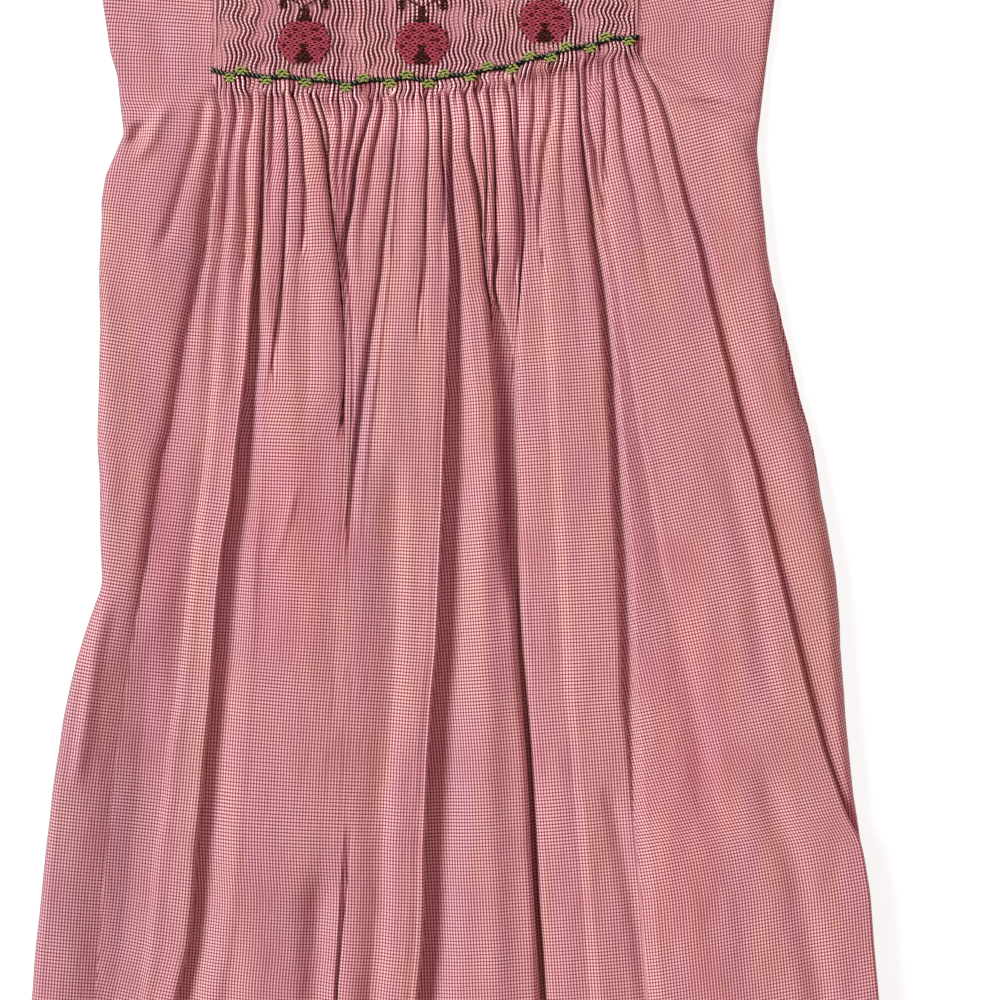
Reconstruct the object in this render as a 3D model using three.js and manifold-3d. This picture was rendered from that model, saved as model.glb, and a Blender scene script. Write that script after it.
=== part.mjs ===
// A child's smocked dress in pink micro-check cotton, laid on its back with the front up.
// Millimetres. +X to the right of the dress as seen, +Y to the neck, +Z up off the surface.
// The cloth is a wall. Its outline, creases, folds and smocked pleats are worked out from the tables below,
// which count across and down on a grid of GRID millimetres laid over the dress.
import * as THREE from "three";
import Module from "manifold-3d";

const GRID = 0.44; // one step of the grid
const MID_ACROSS = 453; // the grid's point over the frame's origin
const MID_DOWN = 367.5;

const BACK_WALL = 1.5; // thickness of the back, from the surface up
const FRONT_WALL = 1.6; // thickness of the front
const GAP = 0.3; // between neighbouring pieces
const BAND = 6; // width of the neck and armhole bindings
const BAND_WALL = 1.7;
const DOME = 0.3; // share of a fold's height that rounds its top
const OVERHANG = 2.5; // a sharp flank leans this many grid steps past its crease
const REST = BACK_WALL + GAP + FRONT_WALL; // top of the front where it lies on the back

const PLEATS = 96; // smocked pleats across the inset
const PLEAT_RISE = 0.75; // from a pleat's valley to its crest
const INSET_LEFT = 213; // the smocked inset runs between these, with straight sides
const INSET_RIGHT = 640;
const NECK_FRONT = -200; // top of the inset
const NECK_BACK = -300;
const UNDERARM = -20;
const SHOULDER = -355;
const HEM = 1090;
const HEM_LIFT = 9; // the hem rises by this much towards the side seams
const NECK_CORNER = 26; // radius of the neck's lower corners

const PINK = new THREE.Color().setRGB(0.74, 0.5, 0.52, THREE.SRGBColorSpace);
const BINDING_PINK = new THREE.Color().setRGB(0.72, 0.47, 0.5, THREE.SRGBColorSpace);

// A table is a heading of column names, then a row for each section or fold.
function table(text) {
  const [head, ...rows] = text.trim().split("\n").map((line) => line.trim().split(/\s+/));
  return rows.map((row) => Object.fromEntries(head.map((name, i) => [name, isNaN(row[i]) ? row[i] : Number(row[i])])));
}

// Side seams, armholes and straps of the front, and how far the back shows past it.
const OUTLINE = table(`
  down  left  right  back_left  back_right
  -355  147   708    0          0
  -280  148   707    0          0
  -200  149   709    0          0
  -140  148   714    0          0
  -90   144   724    0          0
  -50   134   740    0          0
  -33   122   755    0          0
  -25   112   766    0          0
  -20   101   777    0          0
  0     103   774    0          0
  50    110   768    0          0
  90    119   763    0          0
  130   123   758    0          0
  150   116   757    0          0
  175   105   760    0          0
  200   101   761    0          0
  250   100   767    0          0
  300   99    775    0          4
  350   99    785    0          5
  400   98    796    0          5
  450   97    812    0          2
  500   99    820    0          2
  550   100   829    0          0
  580   102   835    0          0
  605   96    838    0          0
  630   87    840    0          0
  670   74    842    0          0
  720   64    846    0          0
  780   55    851    0          0
  850   46    861    0          0
  920   39    870    0          0
  1000  32    877    0          0
  1090  22    884    0          0
`);

// Lower edge of the smocking.
const SMOCK_END = table(`
  across  down
  100     84
  213     84
  255     90
  305     93
  350     98
  405     93
  455     90
  515     79
  565     65
  636     51
  780     51
`);

// Long creases: where each lies across the dress at each height, and how far its bed stands above the back.
const CREASES = table(`
  crease       d90  d150 d200 d250 d300 d400 d500 d600 d700 d800 d900 d1000 d1090 bed90 bed250 bed500 bed750 bed1090
  inset_left   216  213  207  201  192  174  155  140  125  112  103  96    90    0.6   0      0.6    5      6
  left_fold    265  262  259  256  252  243  232  218  212  203  195  178   166   1     0      0      0      0
  mid_left     372  357  350  340  341  345  350  344  340  338  337  336   334   1     0      3.5    6      0
  centre       447  448  447  449  449  446  443  439  432  427  425  418   410   1     0      0      0      0
  inverted     464  468  477  484  490  505  508  517  525  531  536  541   546   1     0      0      0      0
  box_right    576  582  588  594  600  608  618  627  632  634  633  644   650   1     0      0      0      1.5
  side_fold    652  671  684  698  711  734  758  783  807  836  865  872   879   0.6   0      0      0      0
`);

// Folds between those creases, from the left side seam to the right one: the reach is how far each flank runs
// up from its crease, and the crest stands above the back by the given height.
const FOLDS = table(`
  fold         reach_left reach_right crest90 crest250 crest500 crest750 crest1090 columns
  left_side    12         30          2       4        6.5      8        8         7
  left_ridge   34         7           2.5     7        10       12       12        7
  left_mid     40         22          2.5     8        9        11       13        8
  centre_left  34         8           3       8        11       13       13        8
  inverted_up  30         24          2.5     5        7        8        9         6
  box          8          9           3       9        12       14       15        8
  right_fold   36         9           2.5     7        10       13       13        9
  right_side   18         13          2       4.5      6        5        1         5
`);

// Shorter troughs pressed into the folds, each through three points, deepest in the middle.
const TROUGHS = table(`
  trough        down1 across1 down2 across2 down3 across3 depth width
  left_upper    90    206     150   193     255   156     1.6   9
  inset_tan     95    251     170   243     270   245     2.5   8
  inset_pair    100   284     200   285     350   275     2.8   7
  deep_pair     110   322     240   335     400   345     3.5   8
  long_left     105   396     300   375     535   342     3.5   8
  centre_fine   100   425     180   425     285   424     2.4   7
  inverted_top  90    488     220   495     350   513     3     8
  box_short     100   506     180   515     262   523     2.4   7
  box_soft      100   550     190   541     320   541     2.6   9
  right_soft    100   586     330   623     790   706     3.2   11
  right_outer   420   713     620   757     990   820     2.6   14
  ridge_left    440   396     700   392     1000  378     3     12
  low_left      640   143     800   142     1000  118     3.2   18
  side_pinch    65    650     95    700     150   750     1.8   10
  left_pinch    100   165     137   140     145   124     1.8   9
`);

const ROWS = [115, 145, 180, 215, 255, 300, 345, 395, 445, 500, 560, 610, 660, 720, 785, 850, 920, 1000, 1090];
const INSET_ROWS = [-200, -60, 90];
const SIDE_COLUMNS = 4; // columns in the plain part beside the inset
const SIDE_ROWS = [-20, 0, 20, 40, 60, 75, 90];
const ARMHOLE_ROWS = [-355, -340, -326, -310, -300, -280, -235, -215, -200, -170, -140, -110, -90, -70, -50, -40, -33, -28, -24, -20];

const mix = (a, b, t) => a + (b - a) * t;
const clamp = (v, low, high) => Math.min(high, Math.max(low, v));
const soft = (t) => 0.5 - 0.5 * Math.cos(Math.PI * clamp(t, 0, 1));
const round = (t) => Math.sin((Math.PI / 2) * clamp(t, 0, 1));

// Value of a column at a place along a table's key column, joined by a curve that doesn't overshoot.
function along(rows, key, column, at) {
  const n = rows.length;
  if (at <= rows[0][key]) return rows[0][column];
  if (at >= rows[n - 1][key]) return rows[n - 1][column];
  let i = 0;
  while (rows[i + 1][key] < at) i++;
  const slope = (j) => (rows[j + 1][column] - rows[j][column]) / (rows[j + 1][key] - rows[j][key]);
  const tangent = (j) => {
    if (j === 0) return slope(0);
    if (j === n - 1) return slope(n - 2);
    const a = slope(j - 1);
    const b = slope(j);
    return a * b <= 0 ? 0 : (2 * a * b) / (a + b);
  };
  const span = rows[i + 1][key] - rows[i][key];
  const t = (at - rows[i][key]) / span;
  const t2 = t * t;
  const t3 = t2 * t;
  return (
    (2 * t3 - 3 * t2 + 1) * rows[i][column] +
    (t3 - 2 * t2 + t) * span * tangent(i) +
    (3 * t2 - 2 * t3) * rows[i + 1][column] +
    (t3 - t2) * span * tangent(i + 1)
  );
}

// The stations d90, crest250 and so on of one row, as a curve down the dress.
function stations(row, prefix) {
  return Object.keys(row)
    .filter((k) => k.startsWith(prefix) && !isNaN(k.slice(prefix.length)))
    .map((k) => ({ down: Number(k.slice(prefix.length)), value: row[k] }));
}
const creaseLines = CREASES.map((row) => ({ at: stations(row, "d"), bed: stations(row, "bed") }));
const foldCrests = FOLDS.map((row) => stations(row, "crest"));

const leftEdge = (down) => along(OUTLINE, "down", "left", down);
const rightEdge = (down) => along(OUTLINE, "down", "right", down);
const smockEnd = (across) => along(SMOCK_END, "across", "down", across);

// Grid to millimetres. The hem rises a little towards the side seams.
function place(across, down) {
  const off = (across - MID_ACROSS) / (0.5 * (rightEdge(HEM) - leftEdge(HEM)));
  const lift = HEM_LIFT * off * off * soft((down - 300) / (HEM - 300));
  return [(across - MID_ACROSS) * GRID, (MID_DOWN - down + lift) * GRID];
}

// Rows run level at the hem and follow the lower edge of the smocking near it.
function bend(across, down) {
  const shift = smockEnd(clamp(across, INSET_LEFT, INSET_RIGHT)) - 90;
  const share = down < 90 ? soft((down - UNDERARM) / (90 - UNDERARM)) : 1 - soft((down - 90) / 260);
  return down + shift * share;
}

// Where a line that runs down the dress crosses a bent row.
function cross(line, down) {
  let across = line(down);
  for (let i = 0; i < 4; i++) across = line(bend(across, down));
  return across;
}

// How deep the troughs are at a point of the grid, in millimetres.
function troughDepth(across, down) {
  let deep = 0;
  for (const t of TROUGHS) {
    const s = (down - t.down1) / (t.down3 - t.down1);
    if (s <= 0 || s >= 1) continue;
    const m = (t.down2 - t.down1) / (t.down3 - t.down1);
    const centre =
      (t.across1 * (s - m) * (s - 1)) / m + (t.across2 * s * (s - 1)) / (m * (m - 1)) + (t.across3 * s * (s - m)) / (1 - m);
    const off = (across - centre) / t.width;
    deep = Math.max(deep, t.depth * Math.exp(-off * off) * Math.sin(Math.PI * s) ** 0.7);
  }
  return deep;
}

// Section of the front across the dress below the smocking: grid points with heights above the back.
function foldSection(down) {
  const lines = [
    cross(leftEdge, down),
    ...creaseLines.map((c) => cross((at) => along(c.at, "down", "value", at), down)),
    cross(rightEdge, down),
  ];
  const beds = [0, ...creaseLines.map((c) => along(c.bed, "down", "value", down)), 0];
  const open = soft((down - 84) / 130); // the folds open out below the smocking
  const points = [];
  FOLDS.forEach((fold, k) => {
    const width = lines[k + 1] - lines[k];
    const squeeze = Math.min(1, (0.86 * width) / (fold.reach_left + fold.reach_right));
    const left = fold.reach_left * squeeze;
    const right = fold.reach_right * squeeze;
    const crest = along(foldCrests[k], "down", "value", down);
    const inner = fold.columns - 4;
    const stops = [0, left * 0.4, left];
    for (let i = 1; i < inner; i++) stops.push(mix(left, width - right, i / inner));
    stops.push(width - right, width - right * 0.4);
    const leanLeft = k > 0 && fold.reach_left < 10 ? left * 0.4 + OVERHANG * open : 0;
    const leanRight = k < FOLDS.length - 1 && fold.reach_right < 10 ? right * 0.4 + OVERHANG * open : 0;
    for (const d of stops) {
      const rise = (reach, t) => (reach < 15 ? round(t) : soft(t));
      const up = rise(fold.reach_left, d / left) * rise(fold.reach_right, (width - d) / right);
      const bed = mix(beds[k], beds[k + 1], d / width);
      const top = crest * (1 - DOME + DOME * Math.sin((Math.PI * d) / width));
      const across = lines[k] + d - (d === stops[1] ? leanLeft : 0) + (d === stops.at(-1) ? leanRight : 0);
      const height = mix(bed, top, up) - troughDepth(across, down) * Math.min(1, up * 1.5) * mix(0.4, 1, open);
      points.push({ across, down: bend(across, down), height: Math.max(0, height) });
    }
  });
  points.push({ across: lines[lines.length - 1], down: bend(lines[lines.length - 1], down), height: 0 });
  return points;
}

// Pleats of the smocked inset, from its left side to its right.
function insetSection(down) {
  const flat = 1 - soft((NECK_FRONT + 40 - down) / 40) * 0.6; // pressed down under the neck binding
  const points = [];
  for (let i = 0; i <= 2 * PLEATS; i++) {
    const across = mix(INSET_LEFT, INSET_RIGHT, i / (2 * PLEATS));
    const swell = 1 + 0.5 * round(Math.min(i, 2 * PLEATS - i) / 24);
    points.push({ across, down: bend(across, down), height: (swell + (i % 2 ? PLEAT_RISE : 0)) * flat, pleat: i });
  }
  return points;
}

// Plain part between a side seam or armhole and the inset.
function sideSection(side, down) {
  const edge = side === "left" ? cross(leftEdge, down) : cross(rightEdge, down);
  const inset = side === "left" ? INSET_LEFT - 7 : INSET_RIGHT + 7;
  const points = [];
  for (let i = 0; i <= SIDE_COLUMNS; i++) {
    const across = mix(edge, inset, i / SIDE_COLUMNS);
    const height = 2.2 * round(Math.abs(across - edge) / 14) * mix(1, 0.45, soft(i / SIDE_COLUMNS - 0.3)) * soft((down + 290) / 200);
    points.push({ across, down: bend(across, down), height: Math.max(0, height - troughDepth(across, down) * 0.7) });
  }
  return side === "left" ? points : points.reverse();
}

// Wall under a section: each point of its lower face lies FRONT_WALL in from the upper face, square to it.
function wallUnder(points) {
  return points.map((p, i) => {
    const a = points[Math.max(0, i - 1)];
    const b = points[Math.min(points.length - 1, i + 1)];
    const dx = (b.across - a.across) * GRID;
    const dz = b.height - a.height;
    const length = Math.hypot(dx, dz);
    const lean = p.pleat === undefined ? 1 : 0;
    return {
      across: p.across + (lean * FRONT_WALL * (dz / length)) / GRID,
      down: p.down,
      height: Math.max(-FRONT_WALL, p.height - FRONT_WALL * (lean ? dx / length : 1)),
    };
  });
}

// A closed wall from an upper face, a lower face and the triangles of the upper one.
function closedWall(upper, lower, triangles) {
  const count = upper.length;
  const positions = [...upper, ...lower].flat();
  const index = [];
  const edges = new Set();
  for (const [a, b, c] of triangles) {
    index.push(a, b, c, a + count, c + count, b + count);
    edges.add(a + "_" + b).add(b + "_" + c).add(c + "_" + a);
  }
  for (const edge of edges) {
    const [a, b] = edge.split("_").map(Number);
    if (edges.has(b + "_" + a)) continue;
    index.push(a, a + count, b + count, a, b + count, b);
  }
  const geometry = new THREE.BufferGeometry();
  geometry.setAttribute("position", new THREE.Float32BufferAttribute(positions, 3));
  geometry.setIndex(index);
  return geometry;
}

// Triangles between two rows of points, which may differ in number: the row nearer the neck comes first.
function strip(upperRow, lowerRow, keyOf, triangles) {
  let i = 0;
  let j = 0;
  while (i < upperRow.length - 1 || j < lowerRow.length - 1) {
    const nextUpper = i < upperRow.length - 1 ? keyOf(upperRow[i + 1]) : Infinity;
    const nextLower = j < lowerRow.length - 1 ? keyOf(lowerRow[j + 1]) : Infinity;
    if (nextLower <= nextUpper) {
      triangles.push([upperRow[i], lowerRow[j], lowerRow[j + 1]]);
      j++;
    } else {
      triangles.push([upperRow[i], lowerRow[j], upperRow[i + 1]]);
      i++;
    }
  }
}

// Inner edge of a strap on the way up from the neck's corner.
function strapInner(side, down, neck) {
  const turn = clamp((neck - down) / NECK_CORNER, 0, 1);
  const reach = NECK_CORNER * (1 - Math.sqrt(1 - (1 - turn) ** 2));
  return side === "left" ? INSET_LEFT + reach : INSET_RIGHT - reach;
}

function front() {
  const upper = [];
  const lower = [];
  const keys = [];
  const triangles = [];
  const keyOf = (v) => keys[v];
  const upKeyOf = (v) => upper[v][1];
  function addRow(points) {
    const under = wallUnder(points);
    return points.map((p, i) => {
      upper.push([...place(p.across, p.down), REST + p.height]);
      lower.push([...place(under[i].across, p.down), REST + under[i].height]);
      keys.push(p.across);
      return upper.length - 1;
    });
  }
  // Two rows with as many points each, as squares cut along either diagonal in turn.
  function squares(above, below, turn) {
    for (let i = 0; i < above.length - 1; i++) {
      if ((i + turn) % 2) triangles.push([above[i], below[i], below[i + 1]], [above[i], below[i + 1], above[i + 1]]);
      else triangles.push([above[i], below[i], above[i + 1]], [above[i + 1], below[i], below[i + 1]]);
    }
  }

  const inset = INSET_ROWS.map((down) => addRow(insetSection(down)));
  inset.forEach((row, r) => r && squares(inset[r - 1], row, r));
  const sideDowns = ARMHOLE_ROWS.filter((down) => down >= NECK_FRONT).concat(SIDE_ROWS.filter((down) => down > UNDERARM));
  const sides = {};
  for (const side of ["left", "right"]) {
    const rows = sideDowns.map((down) => addRow(sideSection(side, down)));
    rows.forEach((row, r) => r && squares(rows[r - 1], row, r));
    sides[side] = rows;
  }
  const upward = (rows, at) => rows.map((row) => row.at(at)).reverse();
  strip(upward(sides.left, -1), upward(inset, 0), upKeyOf, triangles);
  strip(upward(inset, -1), upward(sides.right, 0), upKeyOf, triangles);

  const body = ROWS.map((down) => addRow(foldSection(down)));
  strip([...sides.left.at(-1), ...inset.at(-1), ...sides.right.at(-1)], body[0], keyOf, triangles);
  body.forEach((row, r) => r && squares(body[r - 1], row, r));

  // Straps, from the part of the neck row on each side of the neck.
  const neckRow = [...sides.left[0], ...inset[0], ...sides.right[0]];
  const corner = { left: strapInner("left", NECK_FRONT, NECK_FRONT), right: strapInner("right", NECK_FRONT, NECK_FRONT) };
  for (const side of ["left", "right"]) {
    let below = neckRow.filter((v) => (side === "left" ? keys[v] <= corner.left + 0.01 : keys[v] >= corner.right - 0.01));
    for (const down of ARMHOLE_ROWS.filter((down) => down < NECK_FRONT).reverse()) {
      const inner = strapInner(side, down, NECK_FRONT);
      const outer = side === "left" ? leftEdge(down) : rightEdge(down);
      const points = [];
      for (let i = 0; i <= 6; i++)
        points.push({ across: mix(Math.min(inner, outer), Math.max(inner, outer), i / 6), down, height: i === 0 || i === 6 ? 0 : 0.5 });
      const row = addRow(points);
      strip(row, below, keyOf, triangles);
      below = row;
    }
  }
  return closedWall(upper, lower, triangles);
}


// The back lies flat on the surface. It has the front's outline, and shows a little past it on the right.
function back() {
  const upper = [];
  const lower = [];
  const triangles = [];
  const addRow = (down, from, to, steps) => {
    const row = [];
    for (let i = 0; i <= steps; i++) {
      const [x, y] = place(mix(from, to, i / steps), down);
      upper.push([x, y, BACK_WALL]);
      lower.push([x, y, 0]);
      row.push(upper.length - 1);
    }
    return row;
  };
  const join = (above, below) => {
    for (let i = 0; i < above.length - 1; i++)
      triangles.push([above[i], below[i], below[i + 1]], [above[i], below[i + 1], above[i + 1]]);
  };
  const downs = ARMHOLE_ROWS.concat(OUTLINE.map((row) => row.down).filter((down) => down > UNDERARM)).filter((down) => down > NECK_BACK);
  const left = (down) => leftEdge(down) - along(OUTLINE, "down", "back_left", down);
  const right = (down) => rightEdge(down) + along(OUTLINE, "down", "back_right", down);
  // Row at the neck: its middle runs between the neck's corners.
  const neck = [];
  const cornerLeft = strapInner("left", NECK_BACK, NECK_BACK);
  const cornerRight = strapInner("right", NECK_BACK, NECK_BACK);
  const stops = [left(NECK_BACK), mix(left(NECK_BACK), cornerLeft, 0.5), cornerLeft];
  for (let i = 1; i <= 6; i++) stops.push(mix(cornerLeft, cornerRight, i / 6));
  stops.push(mix(cornerRight, right(NECK_BACK), 0.5), right(NECK_BACK));
  for (const across of stops) {
    const [x, y] = place(across, NECK_BACK);
    upper.push([x, y, BACK_WALL]);
    lower.push([x, y, 0]);
    neck.push(upper.length - 1);
  }
  let above = neck;
  for (const down of downs) {
    const row = addRow(down, left(down), right(down), 4);
    if (above === neck) strip(above, row, (v) => upper[v][0], triangles);
    else join(above, row);
    above = row;
  }
  for (const side of ["left", "right"]) {
    let below = side === "left" ? neck.slice(0, 3) : neck.slice(-3);
    for (const down of ARMHOLE_ROWS.filter((down) => down < NECK_BACK).reverse()) {
      const inner = strapInner(side, down, NECK_BACK);
      const row = side === "left" ? addRow(down, left(down), inner, 2) : addRow(down, inner, right(down), 2);
      join(row, below);
      below = row;
    }
  }
  return closedWall(upper, lower, triangles);
}

// A flat band beside an edge: the edge's points come in order, and the band lies on their left as they are walked.
function band(edge, low, high) {
  const upper = [];
  const lower = [];
  const triangles = [];
  edge.forEach((p, i) => {
    const a = edge[Math.max(0, i - 1)];
    const b = edge[Math.min(edge.length - 1, i + 1)];
    const unit = (q, r) => {
      const l = Math.hypot(r[0] - q[0], r[1] - q[1]) || 1;
      return [(r[0] - q[0]) / l, (r[1] - q[1]) / l];
    };
    const into = unit(i ? a : p, i ? p : b);
    const out = unit(i < edge.length - 1 ? p : a, i < edge.length - 1 ? b : p);
    let nx = -(into[1] + out[1]);
    let ny = into[0] + out[0];
    const l = Math.hypot(nx, ny);
    nx /= l;
    ny /= l;
    const corner = 1 / Math.max(0.6, nx * -out[1] + ny * out[0]);
    for (const reach of [GAP, BAND]) {
      upper.push([p[0] + nx * reach * corner, p[1] + ny * reach * corner, high]);
      lower.push([p[0] + nx * reach * corner, p[1] + ny * reach * corner, low]);
    }
    if (i) {
      const v = 2 * i;
      triangles.push([v - 2, v, v + 1], [v - 2, v + 1, v - 1]);
    }
  });
  return closedWall(upper, lower, triangles);
}

const wasm = await Module();
wasm.setup();
const { Manifold, Mesh } = wasm;
function solid(geometry) {
  return new Manifold(
    new Mesh({
      numProp: 3,
      vertProperties: new Float32Array(geometry.attributes.position.array),
      triVerts: new Uint32Array(geometry.index.array),
    }),
  );
}
function geometryOf(made) {
  const mesh = made.getMesh();
  const positions = new Float32Array(mesh.numVert * 3);
  for (let i = 0; i < mesh.numVert; i++)
    positions.set(mesh.vertProperties.subarray(i * mesh.numProp, i * mesh.numProp + 3), 3 * i);
  const geometry = new THREE.BufferGeometry();
  geometry.setAttribute("position", new THREE.BufferAttribute(positions, 3));
  geometry.setIndex(new THREE.BufferAttribute(new Uint32Array(mesh.triVerts), 1));
  return geometry;
}

const FRONT_LOW = BACK_WALL + GAP;
const FRONT_HIGH = FRONT_LOW + BAND_WALL;
const BAND_LIFT = 0.5; // the front's band over the smocked neck edge is this much thicker

// A band's two levels, joined where the garment folds over: at the shoulder, and for an armhole at the underarm.
function joined(frontEdge, backEdge, ends) {
  let made = solid(band(frontEdge, FRONT_LOW, FRONT_HIGH + BAND_LIFT)).add(solid(band(backEdge, 0, BACK_WALL)));
  for (const end of ends) made = made.add(solid(band(end, 0, FRONT_HIGH)));
  return geometryOf(made);
}

function neckBinding() {
  const path = (neck) => {
    const downs = ARMHOLE_ROWS.filter((down) => down <= neck);
    const edge = (side) => downs.map((down) => place(strapInner(side, down, neck), down));
    return [...edge("left"), ...edge("right").reverse()];
  };
  const frontPath = path(NECK_FRONT);
  const backPath = path(NECK_BACK);
  const endLeft = frontPath.slice(0, 1).concat([[frontPath[0][0], frontPath[0][1] - 4]]);
  const last = frontPath[frontPath.length - 1];
  const endRight = [[last[0], last[1] - 4], last];
  return joined(frontPath, backPath, [endLeft, endRight]);
}

function armholeBinding(side) {
  const edge = ARMHOLE_ROWS.map((down) => place(side === "left" ? leftEdge(down) : rightEdge(down), down));
  const path = side === "left" ? edge.slice().reverse() : edge;
  const shoulderPoint = side === "left" ? path[path.length - 1] : path[0];
  const shoulderEnd =
    side === "left" ? [[shoulderPoint[0], shoulderPoint[1] - 4], shoulderPoint] : [shoulderPoint, [shoulderPoint[0], shoulderPoint[1] - 4]];
  const underarmPoint = side === "left" ? path[0] : path[path.length - 1];
  const next = side === "left" ? path[1] : path[path.length - 2];
  const far = Math.hypot(next[0] - underarmPoint[0], next[1] - underarmPoint[1]);
  const inward = [underarmPoint[0] + ((next[0] - underarmPoint[0]) * 4) / far, underarmPoint[1] + ((next[1] - underarmPoint[1]) * 4) / far];
  const underarmEnd = side === "left" ? [underarmPoint, inward] : [inward, underarmPoint];
  return joined(path, path, [shoulderEnd, underarmEnd]);
}

const dress = new THREE.Group();
dress.name = "smocked_dress";
function add(name, geometry, color) {
  const flat = geometry.index ? geometry.toNonIndexed() : geometry;
  flat.computeVertexNormals();
  const mesh = new THREE.Mesh(flat, new THREE.MeshStandardMaterial({ color, roughness: 0.9, metalness: 0 }));
  mesh.name = name;
  dress.add(mesh);
}
add("back", back(), PINK);
add("front", front(), PINK);
add("neck_binding", neckBinding(), BINDING_PINK);
add("armhole_binding_left", armholeBinding("left"), BINDING_PINK);
add("armhole_binding_right", armholeBinding("right"), BINDING_PINK);

export default dress;
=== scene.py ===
import math

import bpy
import numpy as np
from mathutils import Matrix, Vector


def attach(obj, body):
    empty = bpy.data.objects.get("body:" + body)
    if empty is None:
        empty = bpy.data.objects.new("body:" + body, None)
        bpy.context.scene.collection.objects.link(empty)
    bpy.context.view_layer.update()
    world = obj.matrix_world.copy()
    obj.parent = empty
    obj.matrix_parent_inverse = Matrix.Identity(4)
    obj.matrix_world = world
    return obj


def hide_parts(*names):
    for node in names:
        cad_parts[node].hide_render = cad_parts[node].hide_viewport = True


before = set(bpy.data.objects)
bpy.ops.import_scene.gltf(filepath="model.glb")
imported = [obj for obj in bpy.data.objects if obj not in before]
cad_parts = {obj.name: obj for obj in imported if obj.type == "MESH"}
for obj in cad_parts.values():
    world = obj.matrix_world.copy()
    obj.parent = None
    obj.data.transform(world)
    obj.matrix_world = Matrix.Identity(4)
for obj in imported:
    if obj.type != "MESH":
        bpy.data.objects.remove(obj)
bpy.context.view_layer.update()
rng = np.random.default_rng(7)

GRID = 0.44e-3
MID_ACROSS, MID_DOWN = 453.0, 367.5
HEM, HEM_LIFT = 1090.0, 9.0
NECK, NECK_BACK, SHOULDER, UNDERARM = -200.0, -300.0, -355.0, -20.0
NECK_CORNER = 26.0
INSET_L, INSET_R = 213.0, 640.0
PLEATS, PER_PLEAT = 96, 10
FULLNESS = 2.4
REST = 3.1e-3  # height of the front's cloth where it lies on the back
CHECK_U, CHECK_V = 2.96, 3.47  # repeat of the woven check, across and down

# ------------------------------------------------------------------ tables
OUTLINE = np.array([  # down, left, right
    (-355, 147, 708), (-280, 148, 707), (-200, 149, 709), (-140, 148, 714), (-90, 144, 724), (-50, 134, 740),
    (-33, 122, 755), (-25, 112, 766), (-20, 101, 777), (0, 102, 774.5), (25, 106, 771.5), (50, 109.5, 768),
    (75, 117, 765), (100, 119.5, 762), (125, 122.5, 759), (133, 123.5, 758), (150, 116, 757), (175, 105, 760),
    (200, 101, 762), (225, 101, 765), (250, 99.5, 767), (275, 98.5, 771.5), (300, 99, 775), (325, 99.5, 779),
    (350, 99, 785), (375, 98.5, 790), (400, 98, 796), (425, 97, 805), (450, 97, 812), (475, 99, 817), (500, 99.5, 821),
    (525, 99.5, 827), (550, 100, 831), (578, 101.5, 836), (590, 101, 837), (600, 97, 838), (625, 88, 840), (650, 80, 840.5),
    (675, 73, 842.5), (700, 67.5, 844.5), (725, 62.5, 846), (750, 59, 848.5), (775, 55, 851), (800, 51.5, 853.5),
    (825, 49, 857.5), (850, 46, 861), (875, 43.5, 865), (900, 41, 869), (925, 38.5, 870.5), (950, 35.5, 872.5),
    (975, 33.5, 875), (1000, 32, 877), (1090, 22, 884)], float)

SMOCK_END = np.array([(100, 84), (213, 84), (232, 88), (255, 90), (305, 93), (350, 98), (380, 94), (405, 93), (430, 93),
                      (455, 90), (480, 86), (515, 78), (540, 70), (565, 64), (590, 58), (615, 53), (636, 50), (780, 50)], float)

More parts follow.
